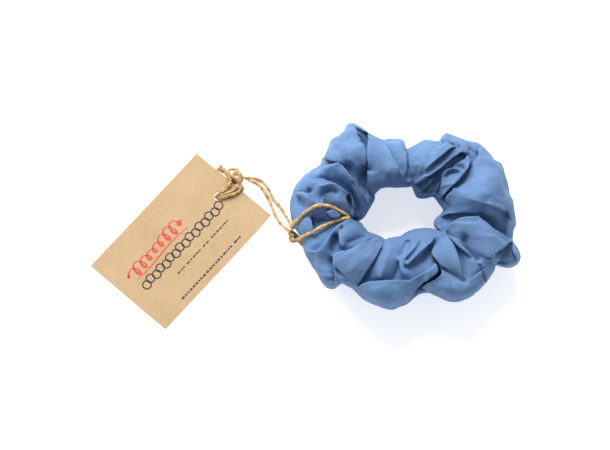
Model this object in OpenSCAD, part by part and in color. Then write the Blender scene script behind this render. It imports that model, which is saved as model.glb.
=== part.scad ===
// Scrunchie: a gathered cotton tube on an elastic ring, with a card hang tag on jute twine.
// +Z is up. The origin is the middle of the ring's footprint, on the surface that it lies on.
// Millimetres.

/* [Fabric cover] */
// Share of the full height of the gathered tube
cover_height = 1.0; // [0.9:0.05:1.1]
// Thickness of the gathered cloth wall
wall = 1.0; // [0.8:0.1:1.4]
// Depth of the small gathers between the lobes
gather = 0.9; // [0.4:0.1:1.2]
// Facets round the ring
ring_steps = 108; // [72:36:144]
// Facets round the tube
tube_steps = 16; // [14:2:22]

/* [Elastic] */
// Width of the flat braided elastic
elastic_w = 6.5; // [5:0.5:8]
// Thickness of the elastic
elastic_t = 1.2; // [0.8:0.1:1.5]
// Gap between the cloth and the elastic
elastic_gap = 2.6; // [2.4:0.1:3]

/* [Thread] */
// Diameter of the sewing thread
thread_d = 0.4; // [0.3:0.05:0.5]

/* [Twine] */
// Diameter of the jute twine
twine_d = 1.6; // [1.2:0.1:1.7]
// Radius of the knot at the tag
knot_r = 3.2; // [2.8:0.1:3.2]

/* [Hang tag] */
// Length of the card
tag_len = 85; // [70:1:90]
// Width of the card
tag_wid = 54; // [45:1:60]
// Thickness of the card
tag_t = 0.5; // [0.3:0.05:0.5]
// Diameter of the punched hole
tag_hole_d = 5; // [4.8:0.1:5.4]
// Distance from the short edge to the middle of the hole
tag_hole_in = 10.7; // [8:0.1:10.7]

/* [Hidden] */

blue = [0.45, 0.60, 0.80];
thread_blue = [0.33, 0.46, 0.66];
elastic_white = [0.93, 0.93, 0.90];
jute = [0.74, 0.58, 0.36];
kraft = [0.90, 0.77, 0.61];

// Outer and inner radius of the ring, the cloth's top and its underside, every 10 degrees
// counter-clockwise from +X. The lobes are the gathers that stand furthest out.
outer_r = [59, 59, 59, 58, 57, 54, 52, 46, 42, 43, 45, 50, 60, 59, 57, 55, 61, 61.5,
           60, 58, 58, 58, 58, 53, 52, 53, 54, 50, 47, 49, 56, 58, 58, 58, 64.5, 60];
inner_r = [21, 21, 20.5, 20, 19, 18, 17.5, 17, 17, 17, 17, 17.5, 18.5, 20, 21, 22, 23, 24,
           26, 25, 22, 19, 16.5, 14.5, 13, 12, 11.5, 11.5, 11.5, 12, 13, 14.5, 16, 17.5, 19, 20];
top_z   = [35, 36, 36, 36, 35, 35, 34, 33, 32, 32, 33, 35, 37, 37, 36, 34, 31, 29,
           26.5, 25.5, 27, 32, 35, 35, 35, 36, 36, 35, 34, 34, 35, 35, 34, 33, 31, 33];
under_z = [-0.8, -0.8, -0.8, -0.8, -0.8, -0.8, -0.8, -0.8, -0.8, -0.8, -0.8, -0.8,
           -0.8, -0.8, -0.8, -0.8, -0.8, 1.0, 2.8, 2.8, 2.0, -0.8, -0.8, -0.8,
           -0.8, -0.8, -0.8, -0.8, -0.8, -0.8, -0.8, -0.4, 1.4, 1.4, -0.4, -0.8];
seam_angle = 330;
section_n = 2.3;

// The hitch stands at the ring's outer side. The leader turns about a vertical axis there.
hitch = [-62.5, -7.5, 8.0];
// The lift axis is in front of the knot, parallel to the card's short edge.
lift = [-85.6, 26.6, 2.8];
tag_dir = -131.4;                  // direction from the hole to the card's far end
hole = [-100.05, 15.85];           // middle of the punched hole
tag_tilt = 1.5;                    // the card rests on the twine at its hole
tag_z = 2.1;                       // underside of the card at the hole

// Routes of the twine, in the order in which it runs. The two wraps follow the cloth:
// each pair is an angle round the ring and an angle round the tube.
wrap_a = [[187, 0], [186.5, 22], [184, 45], [180.5, 68], [178.5, 90], [179, 112], [182, 135], [185, 158],
    [186.5, 180], [186.5, 203], [186, 225], [185.5, 248], [185.5, 270], [185.5, 290]];
wrap_b = [[189.5, 290], [189.5, 270], [189.5, 248], [190, 225], [191, 203], [191, 180], [191, 158],
    [192.5, 135], [192, 112], [192.5, 90], [194, 68], [194.5, 45], [192, 22], [190.5, 0]];
bight = [[-56.6, -4.0, 2.2], [-60.4, -2.8, 4.2], [-62.9, -2.4, 7.2], [-64.8, -4.9, 10.8], [-65.3, -8.6, 11.8],
    [-64.5, -11.4, 10.2], [-62.4, -12.6, 7.0], [-59.6, -11.8, 3.9], [-56.0, -10.0, 2.3]];
route_a = [[-62.6, -8.8, 7.2], [-64.9, -6.1, 5.2], [-66.4, -1.8, 4.2], [-67.6, 2.2, 3.4], [-69.0, 6.0, 2.4],
    [-70.6, 10.0, 1.4], [-71.9, 14.2, 1.0], [-73.2, 18.4, 1.0], [-75.4, 22.4, 1.0],
    [-78.8, 25.2, 1.2], [-82.6, 26.0, 2.0], [-86.2, 25.7, 2.8]];
route_b = [[-62.4, -6.6, 8.2], [-64.7, -3.8, 6.8], [-65.0, 0.2, 5.9], [-65.7, 4.2, 4.8], [-67.2, 8.0, 3.4],
    [-68.9, 11.8, 2.0], [-70.2, 15.6, 1.2], [-71.4, 19.6, 1.0], [-73.8, 23.8, 1.0],
    [-77.8, 26.9, 1.2], [-82.2, 27.8, 2.0], [-86.2, 27.5, 2.8]];

function unit(v) = v / norm(v);
function wrap(i, n) = ((i % n) + n) % n;
// Smooth periodic reading of a table with even steps round the ring
function read(tab, a) = let (n = len(tab), s = a / 360 * n, i = floor(s), f = s - i,
    p0 = tab[wrap(i - 1, n)], p1 = tab[wrap(i, n)], p2 = tab[wrap(i + 1, n)], p3 = tab[wrap(i + 2, n)])
    p1 + 0.5 * f * (p2 - p0 + f * (2 * p0 - 5 * p1 + 4 * p2 - p3 + f * (3 * (p1 - p2) + p3 - p0)));
function sgn_pow(c, n) = sign(c) * pow(abs(c), 2 / n);
// Small gathers all round, dying out where the twine draws the cloth smooth
function ripple(a, t) = gather * min(1, max(0, (abs(a - 187) - 8) / 14))
    * (1 + cos(20 * a + 70 * sin(2 * a + 30) + 25 * sin(2 * t)));
// A point on the tube's skin, moved inwards by off: a runs round the ring, t round the tube
function skin(a, t, off) = let (g = ripple(a, t), ro = read(outer_r, a) - off - g, ri = read(inner_r, a) + off + g * 0.5,
    zt = read(top_z, a) * cover_height - off - g, zb = (off > 0 ? max(0, read(under_z, a)) : read(under_z, a)) + off,
    r = (ro + ri) / 2 + (ro - ri) / 2 * sgn_pow(cos(t), section_n),
    z = (zt + zb) / 2 + (zt - zb) / 2 * sgn_pow(sin(t), section_n))
    [r * cos(a), r * sin(a), z];

module ring_solid(off) {
    n = ring_steps; m = tube_steps;
    pts = [for (i = [0 : n - 1]) for (j = [0 : m - 1]) skin(360 / n * i, 360 / m * (j + 0.5), off)];
    faces = [for (i = [0 : n - 1]) for (j = [0 : m - 1]) for (k = [0, 1])
        let (a = i * m + j, b = i * m + (j + 1) % m, c = ((i + 1) % n) * m + j, d = ((i + 1) % n) * m + (j + 1) % m)
        k == 0 ? [a, b, c] : [b, d, c]];
    polyhedron(points = pts, faces = faces, convexity = 6);
}

// Catmull-Rom points along an open route
function smooth_at(p, i, f) = let (n = len(p), a = p[max(i - 1, 0)], b = p[i], c = p[min(i + 1, n - 1)], d = p[min(i + 2, n - 1)])
    b + 0.5 * f * (c - a + f * (2 * a - 5 * b + 4 * c - d + f * (3 * (b - c) + d - a)));
function smooth_route(p, k) = [for (i = [0 : len(p) - 2]) for (s = [0 : k - 1]) smooth_at(p, i, s / k), p[len(p) - 1]];
function tangent(p, i) = unit(p[min(i + 1, len(p) - 1)] - p[max(i - 1, 0)]);
// A frame carried along the route without twist
function carry(p, i, v) = let (t = tangent(p, i)) unit(v - t * (t * v));
function frames(p, i, v, acc) = i == len(p) ? acc
    : let (u = carry(p, i, v)) frames(p, i + 1, u, concat(acc, [u]));
module cord_solid(p, d, sides = 8, closed = false) {
    n = len(p);
    t0 = tangent(p, 0);
    v0 = abs(t0[2]) < 0.8 ? [0, 0, 1] : [0, 1, 0];
    fr = frames(p, 0, v0, []);
    pts = [for (i = [0 : n - 1]) let (t = tangent(p, i), u = fr[i], w = cross(t, u))
        for (j = [0 : sides - 1]) p[i] + d / 2 * (cos(360 / sides * j) * u + sin(360 / sides * j) * w)];
    side = [for (i = [0 : n - 2]) for (j = [0 : sides - 1]) for (k = [0, 1])
        let (a = i * sides + j, b = i * sides + (j + 1) % sides)
        k == 0 ? [a, b + sides, b] : [a, a + sides, b + sides]];
    polyhedron(points = pts, faces = concat(side,
        [[for (j = [0 : sides - 1]) j]],
        [[for (j = [sides - 1 : -1 : 0]) (n - 1) * sides + j]]), convexity = 8);
}

// The sewn cloth tube, gathered into a ring. It is hollow, and lies flat where it rests.
module fabric_cover() {
    color(blue)
    difference() {
        ring_solid(0);
        ring_solid(wall);
        translate([-80, -80, -10]) cube([160, 160, 10]);
    }
}

// The elastic's line inside the cloth, at its inner side
function band_r(a) = read(inner_r, a) + wall + elastic_gap;
band_z = 14.5;
lap_from = 60;
lap_to = 100;
// Flat braided elastic, one loop, with its ends lapped where they are sewn together
module elastic_band() {
    color(elastic_white)
    translate([0, 0, band_z - elastic_w / 2])
    linear_extrude(height = elastic_w)
    difference() {
        polygon([for (i = [0 : 71]) for (k = [0, 1]) let (a = i * 5 + (k == 0 ? 0 : 4.9), lap = a >= lap_from && a < lap_to ? 2 : 1,
            r = band_r(a) + lap * elastic_t) [r * cos(a), r * sin(a)]]);
        polygon([for (i = [0 : 71]) let (a = i * 5, r = band_r(a)) [r * cos(a), r * sin(a)]]);
    }
}

// The zigzag bar tack that joins the lapped ends: one run of stitches on the outer face
module elastic_bar_tack() {
    color(thread_blue)
    for (i = [0 : 4]) let (a = 74 + i * 3, b = a + 1.5, r = band_r(a) + 2 * elastic_t + 0.1,
        z0 = band_z - elastic_w / 2 + 1, z1 = band_z + elastic_w / 2 - 1)
        cord_solid([[r * cos(a), r * sin(a), z0], [r * cos(b), r * sin(b), (z0 + z1) / 2], [r * cos(a + 2.2), r * sin(a + 2.2), z1]], thread_d, 6);
}

// The long seam's thread, inside the cloth, puckered with the gathers
module side_seam_thread() {
    color(thread_blue)
    let (n = 78) cord_solid([for (i = [0 : n - 1]) let (a = i * 358 / n, rc = (read(outer_r, a) + read(inner_r, a)) / 2,
        rr = (read(outer_r, a) - read(inner_r, a)) / 2, r = rc + rr * 0.62 + 0.8 * sin(a * 24), z = 9 + 0.6 * cos(a * 24))
        [r * cos(a), r * sin(a), z]], thread_d, 6);
}

// The closing seam's thread, stitched round the tube where its two ends meet
module closing_seam_thread() {
    color(thread_blue)
    let (n = 54) cord_solid([for (i = [0 : n - 1]) skin(seam_angle, 20 + i * 352 / n, -0.6)], thread_d, 6);
}

// The twine round the tube: up over the cloth, down through the ring, under it, and back as a bight
module twine_hitch() {
    out = twine_d / 2 + 0.5;
    color(jute) cord_solid(smooth_route(concat([for (w = wrap_a) skin(w[0], w[1], -out)], bight,
        [for (w = wrap_b) skin(w[0], w[1], -out)]), 2), twine_d);
}

// The two free strands between the hitch and the knot
module twine_strand_a() { color(jute) cord_solid(smooth_route(route_a, 3), twine_d); }
module twine_strand_b() { color(jute) cord_solid(smooth_route(route_b, 3), twine_d); }

// Places a piece in the card's own frame: x from the hole to the far end, y across, z up from the card's underside
module on_tag() { translate([hole[0], hole[1], tag_z]) rotate([0, 0, tag_dir]) rotate([0, tag_tilt, 0]) children(); }

// The overhand knot, drawn up tight behind the card's edge
module twine_knot() {
    color(jute)
    on_tag() translate([-tag_hole_in - 0.7 - knot_r, 0, knot_r - tag_z - 0.25])
    rotate([90, 0, 0]) rotate_extrude($fn = 48)
    polygon([for (i = [0 : 12]) let (t = -90 + i * 15) [max(0, (knot_r - 0.1) * cos(t)), 3.6 * sin(t)]]);
}

// The doubled twine from the knot through the punched hole and back
module tag_loop() {
    color(jute)
    on_tag() for (s = [-1, 1]) let (x1 = -tag_hole_in - 1.6, zc = tag_t / 2, h = tag_t / 2 + twine_d / 2 + 0.3)
        cord_solid(smooth_route([[x1, s * 0.9, zc - h], [-8, s * 0.9, zc - h], [-4, s * 0.9, zc - h], [-1.2, s * 0.9, zc - h],
            [0.1, s * 0.9, zc - h * 0.72], [0.65, s * 0.9, zc], [0.1, s * 0.9, zc + h * 0.72], [-1.2, s * 0.9, zc + h],
            [-4, s * 1.0, zc + h], [-8, s * 1.1, zc + h], [x1, s * 1.2, zc + h]], 2), twine_d);
}

// The two cut ends that stand out of the knot
module twine_tails() {
    color(jute)
    on_tag() for (s = [0, 1])
        cord_solid(smooth_route([[-14.6 - s * 0.4, -2.8, 1.4 + s * 1.7], [-14.3 - s * 0.6, -6.2, 1.7 + s * 2.0],
            [-13.3 - s * 0.8, -8.4, 1.8 + s * 2.1], [-12.7 - s * 1.6, -10.8, 1.9 + s * 2.2]], 3), twine_d);
}

// The kraft card, with its punched hole
module hang_tag() {
    color(kraft)
    on_tag() difference() {
        translate([-tag_hole_in, -tag_wid / 2 + 1.9, 0]) cube([tag_len, tag_wid, tag_t]);
        translate([0, 0, -1]) cylinder(h = tag_t + 2, d = tag_hole_d, $fn = 64);
    }
}

fabric_cover();
elastic_band();
elastic_bar_tack();
side_seam_thread();
closing_seam_thread();
twine_hitch();
twine_strand_a();
twine_strand_b();
twine_knot();
tag_loop();
twine_tails();
hang_tag();
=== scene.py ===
import bpy
import math
import numpy as np
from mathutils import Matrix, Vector
from mathutils.bvhtree import BVHTree


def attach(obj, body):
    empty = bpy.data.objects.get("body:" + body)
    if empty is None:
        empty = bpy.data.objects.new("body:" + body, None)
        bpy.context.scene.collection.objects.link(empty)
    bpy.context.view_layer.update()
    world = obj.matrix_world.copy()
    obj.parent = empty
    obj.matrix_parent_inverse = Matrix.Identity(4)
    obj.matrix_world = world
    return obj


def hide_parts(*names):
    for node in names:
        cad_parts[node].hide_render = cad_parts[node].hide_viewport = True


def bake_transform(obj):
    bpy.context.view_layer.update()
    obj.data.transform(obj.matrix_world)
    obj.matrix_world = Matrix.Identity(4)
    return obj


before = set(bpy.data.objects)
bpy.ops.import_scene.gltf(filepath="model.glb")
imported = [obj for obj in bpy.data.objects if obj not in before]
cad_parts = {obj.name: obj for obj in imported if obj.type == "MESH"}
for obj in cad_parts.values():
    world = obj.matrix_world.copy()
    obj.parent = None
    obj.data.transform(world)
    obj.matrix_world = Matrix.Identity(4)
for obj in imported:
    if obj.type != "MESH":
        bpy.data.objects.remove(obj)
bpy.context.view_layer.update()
rng = np.random.default_rng(7)
MM = 0.001

# The ring is sculpted in the plane of the view: x to the right, y up the picture, h towards the eye. Millimetres.
EL = math.radians(70.0)
EX = np.array([1.0, 0.0, 0.0])
EU = np.array([0.0, math.sin(EL), math.cos(EL)])
EC = np.array([0.0, -math.cos(EL), math.sin(EL)])
C0 = np.array([0.0, 5.8])          # the middle of the hair opening
ZC = 17.6                          # height of the tube's middle above the floor


def lift(x, y, h):
    """View-plane x, y, h to the row frame, millimetres."""
    return np.asarray(x)[..., None] * EX + np.asarray(y)[..., None] * EU + np.asarray(h)[..., None] * EC


def mid_h(y):
    return -y / math.tan(EL) + ZC / math.sin(EL)


# Outlines of the ring, and its folds. A fold is (x, y, height on its left, height on its right) along its line.
# --- drawn lines ---
OUTER = [
    (58.2, 5.8), (57.5, 11.8), (56.5, 17.2), (54.7, 23.5), (53, 29.7), (50.7, 33.3), (47.6, 36.5), (44.4, 39.1),
    (41.8, 41.6), (39.5, 43.6), (35.5, 44.9), (31.9, 45.9), (28.8, 47), (25.6, 48.1), (23.8, 49), (22.2, 49.6),
    (20.7, 47.8), (18.9, 45.5), (16.2, 45.9), (14, 46), (10.4, 45.9), (8.6, 45), (6.8, 43.6), (4.8, 42.8),
    (3.2, 42.1), (1.9, 41.4), (1.1, 41.1), (1, 42.7), (0.7, 44.2), (0.1, 45.4), (-1.3, 46.3), (-2.6, 46.8),
    (-4.7, 46.8), (-6.6, 46.6), (-9.1, 46.2), (-11.1, 45.8), (-12.5, 46.4), (-13.8, 47.2), (-16.5, 48.8), (-19.2, 50.3),
    (-21.9, 52.6), (-24.6, 54.3), (-25.9, 55), (-27.2, 55.3), (-28.9, 55.1), (-29.9, 54.6), (-31.7, 53), (-33.5, 51.2),
    (-35.8, 48.9), (-38, 46.8), (-40.2, 44.1), (-42, 41.4), (-43.1, 39.1), (-43.8, 36.9), (-44.4, 34.7), (-45.1, 32.4),
    (-45.9, 31.1), (-47.4, 30.2), (-51, 28.3), (-54.1, 26.1), (-56.4, 24.2), (-58.2, 21.7), (-59.5, 18.5), (-60.4, 15.4),
    (-60.9, 11.8), (-61.2, 8.2), (-60.7, 4.8), (-59.9, 2), (-58.4, -0.9), (-56.8, -3.4), (-55.4, -6.1), (-54.1, -8.8),
    (-53.7, -11.5), (-53, -14.6), (-52, -16.7), (-50.5, -18.7), (-49.2, -21.3), (-47.8, -24), (-46.6, -26.5), (-45.2, -29),
    (-43.4, -31), (-41.6, -32.5), (-39.8, -33.1), (-38, -33.4), (-36.9, -33.2), (-36.2, -32.5), (-35.4, -31.4), (-34.4, -30.4),
    (-32.4, -31.5), (-29.9, -33), (-26.8, -35.3), (-23.7, -37.5), (-21, -39.2), (-18.3, -40.6), (-15.1, -42), (-12, -43),
    (-9.3, -43.7), (-6.6, -43.9), (-3, -42.8), (0.5, -41.1), (3.7, -39), (6.8, -37), (9.7, -36.2), (12.6, -35.7),
    (15.1, -36.7), (17.6, -37.9), (20.3, -39.2), (22.9, -40), (25.2, -40.3), (27.4, -40.4), (29.7, -40.1), (31.9, -39.3),
    (35.7, -37.2), (39.1, -34.8), (41.6, -32.3), (43.7, -29.4), (45.7, -26.7), (47, -23.6), (47.8, -20.6), (49.4, -21),
    (51.2, -21.5), (54.7, -22.2), (57.9, -21.7), (60.1, -20.4), (60.7, -18.7), (60.8, -16.9), (60.4, -14.9), (59.5, -13.1),
    (58.5, -10.8), (57.4, -8.1), (58, -4.3), (58.5, -0.7), (58.9, 2.4)]
INNER = [
    (20.7, 9.1), (19.9, 10.2), (18.9, 11.4), (18, 12.5), (17.1, 13.6), (16.2, 14.7), (14.9, 15.4), (13.1, 15),
    (11.3, 14.6), (9.1, 14.5), (6.8, 14.9), (5.7, 16.5), (5, 18.1), (4.3, 19.7), (3.6, 20.8), (2.3, 20.3),
    (0.5, 20.1), (-3, 20.1), (-6.6, 20.2), (-9.5, 20.1), (-12, 19.4), (-14.5, 18.3), (-16.5, 16.7), (-16.1, 15.6),
    (-16.3, 14.3), (-17.2, 12.9), (-18.1, 11.1), (-19, 9.6), (-19.8, 8), (-20.5, 6.3), (-21.3, 4.6), (-22.2, 3.3),
    (-23.5, 2.7), (-24.4, 2.1), (-23.2, 1.5), (-21.7, 0.5), (-20.3, -1.8), (-19.2, -3.4), (-17.6, -4.1), (-15.6, -4.9),
    (-13.4, -5.8), (-12, -6.6), (-10.7, -7.8), (-9.5, -7.2), (-7.5, -6.5), (-4.8, -6), (-2.2, -5.6), (0.1, -4.2),
    (2.3, -3.1), (5.9, -2.2), (9.5, -1.8), (12.2, -1.8), (14, -2), (16.2, -2.4), (18, -2.7), (16.8, -1.5),
    (16, -0.5), (15.6, 0.7), (15.8, 2.1), (16.5, 3.3), (17.4, 4.5), (18.8, 5.4), (20.3, 6.7), (21, 7.9)]
FOLDS = {
    "b_right": [(-10.9, 45.5, 0, 0.5), (-9.5, 41.8, -2, 2), (-7.5, 36.9, -2.5, 2.5), (-4.4, 31.5, -2, 2.5), (-1.3, 26.1, -1.5, 2), (1, 22.6, -1, 1)],
    "v_cut": [(1.2, 41, -1, -1), (1.2, 36.9, -3, -1), (1.2, 31.5, -3.5, -1.5), (1.4, 27, -3, -2.5), (2.6, 23.9, -2.5, -2.5), (3.9, 21.8, -2, -2)],
    "k_arc": [(15.8, 0.3, -1, -3), (17.1, 3.3, 0, -4), (21, 5.5, 0.5, -4.5), (25.6, 6.7, 1, -4), (31.9, 7.2, 0.5, -3), (37.1, 6.4, -1, -2)],
    "k_foot": [(38.6, 4.6, -5, 1.5), (41.8, 1.8, -6.5, 2.5), (46.2, -2.3, -7, 3), (51.6, -5, -6, 3), (57, -8.1, -3, 2)],
    "j_top": [(20.5, -3.9, -2, 0.5), (22.5, -0.5, -3.5, 1.5), (25.6, 2.1, -4, 2), (29.7, 3.6, -3.5, 2), (33.7, 4.1, -3, 2), (38, 4.6, -3.5, 2)],
    "e_top": [(-38.3, -16.7, -1, 1.5), (-35.8, -14.6, -2, 2), (-32.2, -13.1, -2.5, 2.2), (-27.7, -11.9, -2.5, 2.3), (-22.8, -9.9, -2, 2), (-18.3, -7.9, -1.5, 1.5), (-13.8, -7, -1, 1), (-10.7, -7.7, -0.5, 0)],
    "e_left": [(-38.3, -17.3, 1.5, -3), (-37.8, -20.4, 1.5, -3.5), (-35.5, -23.6, 1.2, -1), (-30.8, -27.9, 1.2, 1), (-25.9, -31.7, 1, 1.5)],
    "e_right": [(-10.5, -8.4, 0, 0), (-13.4, -12.4, -1.5, 1), (-16.9, -17.8, -2, 1), (-20.5, -23.1, -2.5, 0.8), (-23.2, -28.1, -3, 0.5), (-25, -31.4, -1.5, 0.5)],
    "d_seam": [(-47.6, -26.3, 0, -0.5), (-43.4, -27.2, 0.5, -1), (-38.4, -27.4, -0.5, -1.5)],
    "c_tuck": [(-44, 35.5, 0.5, -1), (-39.8, 34.7, 1.5, -2), (-36, 33.7, 1.5, -2.5), (-33.5, 32, 1, -2)],
    "d_e": [(-37.6, -20.9, 1.2, -3), (-37.7, -24.2, 1, -3), (-37.4, -28.5, 0.8, -2), (-36.8, -32.3, 0, -0.5)],
    "a_edge": [(-27.8, 54.5, -1, 1.2), (-26.1, 50.3, -4.6, 2.2), (-23.7, 45.4, -8, 2.8), (-21.5, 40, -8, 2.4), (-20.3, 34.2, -6.5, 1.4), (-19.8, 28.8, -4.5, -0.5)],
    "b_left": [(-19.2, 51.1, 2, -1), (-19.2, 47.7, 3, -5), (-19.5, 42.3, 3.5, -8), (-19.8, 36, 3.5, -7), (-19.9, 29.7, 3.2, -5), (-19.8, 23.5, 2.5, -3.5), (-19.2, 19.4, 1.5, -2.5), (-17.2, 16.5, 0.5, -2)],
    "m_low": [(27.7, 41.5, -1, 0.6), (24.7, 41.1, -1.8, 1.6), (21, 38.6, -2.2, 2.4), (16.7, 35.1, -1.4, 2.8), (13.4, 32.3, -0.4, 2.6), (11, 29.2, 0.6, 2.2)],
    "m_edge": [(32.3, 38.6, -3, 0.5), (30.1, 39.1, -4, 0.8), (26.9, 37.2, -4.2, 0.2), (23.1, 34.5, -4, 0.4), (19.4, 31.2, -4, 1), (15.6, 28.5, -4, 1.4), (11.8, 26.2, -4.4, 1.6), (8.3, 23.5, -4.4, 1.2), (4.8, 21.3, -2.5, 0.5)],
    "m_roll": [(33.1, 37.2, 0, -3.5), (32.3, 35.1, 0.2, -3), (30.1, 34.1, -0.5, -3.4), (27.2, 32.7, -1.4, -4), (23.7, 30.9, -2.2, -4.4)],
    "p_arc": [(30.8, 29.5, -0.4, -1.6), (27.2, 30.5, 0, -2.2), (23.7, 30.4, 0, -2.8), (21, 28.8, -0.4, -3.2), (19.2, 26.2, -1, -3.4), (17.8, 22.2, -1.8, -3.4), (15.9, 17.9, -2.4, -3.2)],
    "p_swirl": [(29.6, 28.1, -0.4, -1), (25.8, 29.1, -1.8, 0.2), (22.7, 28.4, -2, 0.4), (21.3, 26.2, -1.6, 0.2)],
    "p_1": [(16.8, 26.1, -4.6, -2.6), (14, 23.2, -4.8, -2.4), (10.5, 19.5, -4.6, -2.2), (7.1, 16.8, -3.6, -2)],
    "p_2": [(19.6, 26, -1, -3.4), (18.9, 22.2, -0.8, -4), (18.5, 17.9, -1, -4), (18.6, 13.6, -1.4, -3.4)],
    "k_left": [(34.9, 33.8, -1.6, 0.6), (33.1, 30, -2.2, 2.2), (30.1, 26.4, -2.4, 2.6), (26.9, 22.7, -2.4, 2.4), (23.7, 19.4, -2.6, 1.8), (20.7, 16.3, -3.4, 1), (18.9, 13.3, -3, 0)],
    "k_ridge": [(24.6, 20.2, 2.2, 2.2), (28, 17.5, 3.2, 3.2), (35.5, 14.1, 4.4, 4.4), (43.5, 11.6, 4.6, 4.4), (48.9, 10.2, 3.6, 3.2), (53.2, 9, 2, 1.6)],
    "k_in": [(24.1, 18.3, 1.6, -2.4), (22, 15.3, 1, -3.4), (22.2, 11.5, 0, -3.2)],
    "k_sh": [(46.2, 8.2, -1, -1), (52.2, 5.5, -4, -4), (55.9, 2.8, -4, -4)],
    "n_base": [(18.9, 45.6, 0, 0.4), (23.1, 43.7, -0.6, 0.8), (27.2, 42, -0.6, 0.2)],
    "n_1": [(23.5, 47.7, 0.2, 1.6), (25.8, 44.2, -1.4, 1.8), (28.5, 40.5, -0.8, 1.4)],
    "n_2": [(25.3, 48.1, 0.4, 0.2), (30.1, 44.8, -2, 1.8), (33.1, 41.6, -4.4, 2), (33.3, 37.8, -4.2, 1), (34.9, 33.9, -3, 1.2)],
    "k_top": [(39.5, 43.3, 0.4, -1.6), (40.1, 39.7, 1.2, -3.4), (38.1, 35.1, 1.4, -3.6), (35.8, 32.3, 1, -2.8)],
    "m_dark": [(3, 40.5, -1.6, -1.6), (2.8, 34, -1.8, -1.8), (3.4, 27.6, -1.8, -1.8), (4.8, 23.8, -1, -1)],
    "m_ridge": [(14, 45.3, 0.6, 0.6), (13.4, 39.4, 1.8, 1.8), (10.2, 33.5, 2, 2), (7.5, 28.1, 1.4, 1.4)],
    "i_ridge": [(21, -4.4, 0.8, 1.2), (23.4, -8, -1.6, 2.6), (25.7, -12.8, -3.4, 3.2), (27.5, -18.1, -3.6, 3.2), (29.1, -23.4, -2.4, 2.6), (31, -28.2, 0.2, 1.6)],
    "j_left": [(21.1, -4.3, 0.6, 0.6), (25.6, -9.1, 1, -1.2), (31.6, -14.5, 1.8, -1), (35.3, -17.6, 2, 0.4), (39.8, -21.5, 1.8, 1.2)],
    "j_val": [(31, -6.1, -0.8, -0.8), (31.6, -10.9, -2.2, -2.2), (34.3, -15.7, -2.2, -2.2), (37.6, -19.4, -1, -1)],
    "i_crease": [(13.3, -14.6, 0.4, -3.4), (16.1, -18.2, 0.6, -3.4), (18.6, -21.2, 0.8, -2.6), (22, -23.7, 1, -0.4), (25.6, -25.9, 1.2, 0.2), (29.3, -28.3, 1.2, 0.6), (31.6, -28.8, 1, 0.8)],
    "i_rim": [(19.7, -6.1, 1, -0.6), (16.7, -8.5, 0.6, -2.8), (14.3, -11.5, 0.4, -3.6), (13.3, -14.5, 0.2, -3.6)],
    "i_foot": [(31.7, -28.8, 0.8, 1.4), (35.2, -27.3, 0.4, 2), (38.3, -25, 0.6, 2.4), (40.6, -23.2, 1, 2.6)],
    "seam": [(40.1, -21.4, 2, 2.4), (43.5, -18.5, 3, 1.6), (47.3, -15.5, 3.2, 0.8), (51.9, -11.4, 3.2, -2), (55.5, -9.2, 2.6, -3), (57.3, -8.4, 1.5, -2)],
    "g_band1": [(7.2, -4.3, 0.4, 0.4), (6, -9.1, 1.2, 1.2), (2, -14.5, 1.3, 1.3), (-1.7, -18.1, 0.8, 0.8)],
    "g_between": [(8.3, -8.9, 0.3, 0.3), (4.1, -14.2, 0.2, 0.2), (0.3, -18.2, -0.2, -0.2)],
    "g_band2": [(14, -7.2, 0.8, 0.8), (8, -12.8, 1.8, 2), (2, -18.7, 1, 1.6), (0.3, -20.3, 0.4, 0.8)],
    "g_low": [(-0.2, -22.2, -1.8, -1.2), (4.7, -19.4, -2.2, -2.2), (10.1, -16.9, -3.2, -3.2), (12.4, -12.7, -3.6, -3.6), (16.1, -8.9, -2.6, -2.6)],
    "g_wall": [(-2.8, -19.3, 0.2, 0.2), (-2.1, -22.8, 0, 0), (0.3, -25.9, -0.4, -0.4)],
    "g_left": [(1.1, -8.5, -1.8, -1.8), (-0.7, -12.7, -2.4, -2.4), (-2.4, -15.7, -1.2, -1.2)],
    "h_top": [(-25, -31.7, -1, 1.5), (-20.1, -29.9, -2, 2), (-12, -29.1, -2, 2.2), (-4.8, -28.9, -2.4, 2.2), (1.7, -28.9, -1.6, 2.2), (7.7, -25.8, -1.2, 2.4), (11.9, -23, -1.2, 2.6), (15.4, -20.3, -1.6, 2)],
    "h_end": [(15.6, -20.9, -4, 1.4), (16.2, -24, -5.5, 1.8), (13.7, -26.5, -6, 2), (9.6, -29.4, -6, 2), (6.9, -32.4, -4.6, 1.6), (3.6, -36.6, -2.6, 0.8), (2, -39, -1, 0)],
    "i_left": [(16.4, -20.1, -1, -4), (18.6, -23.3, 1, -5), (18.1, -26.4, 2, -6), (13.8, -29.4, 1.8, -6), (8.4, -32.3, 1.6, -4.6), (10.6, -33.9, 1.2, -3), (13.6, -35.6, 0.4, -1.2)],
    "f_dark": [(-4.5, -19.4, -1, -1), (-4.2, -23.4, -2.6, -2.6), (-6, -27.3, -2.8, -2.8)],
    "f_ridge": [(-8.4, -8.5, 0.6, 0.6), (-9.6, -15.1, 1.8, 1.8), (-12, -22.2, 1.6, 1.6), (-13.8, -27, 0.8, 0.8)],
    "flap_a": [(57.4, -9.1, 0.6, -0.8), (56.7, -12.8, 1.8, -1.2), (57.9, -16.9, 1.8, -1.2), (59.6, -19.6, 0.6, -0.4)],
    "flap_b": [(49.5, -18.1, 0, -2.4), (51.9, -12.8, 1.2, -2.4), (54.6, -11.2, 1, -2)],
    "flap_c": [(48.8, -19.7, -2, -0.6), (51.9, -20.9, -2, 0.8), (55.5, -21.3, -1, 0.8)],
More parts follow.
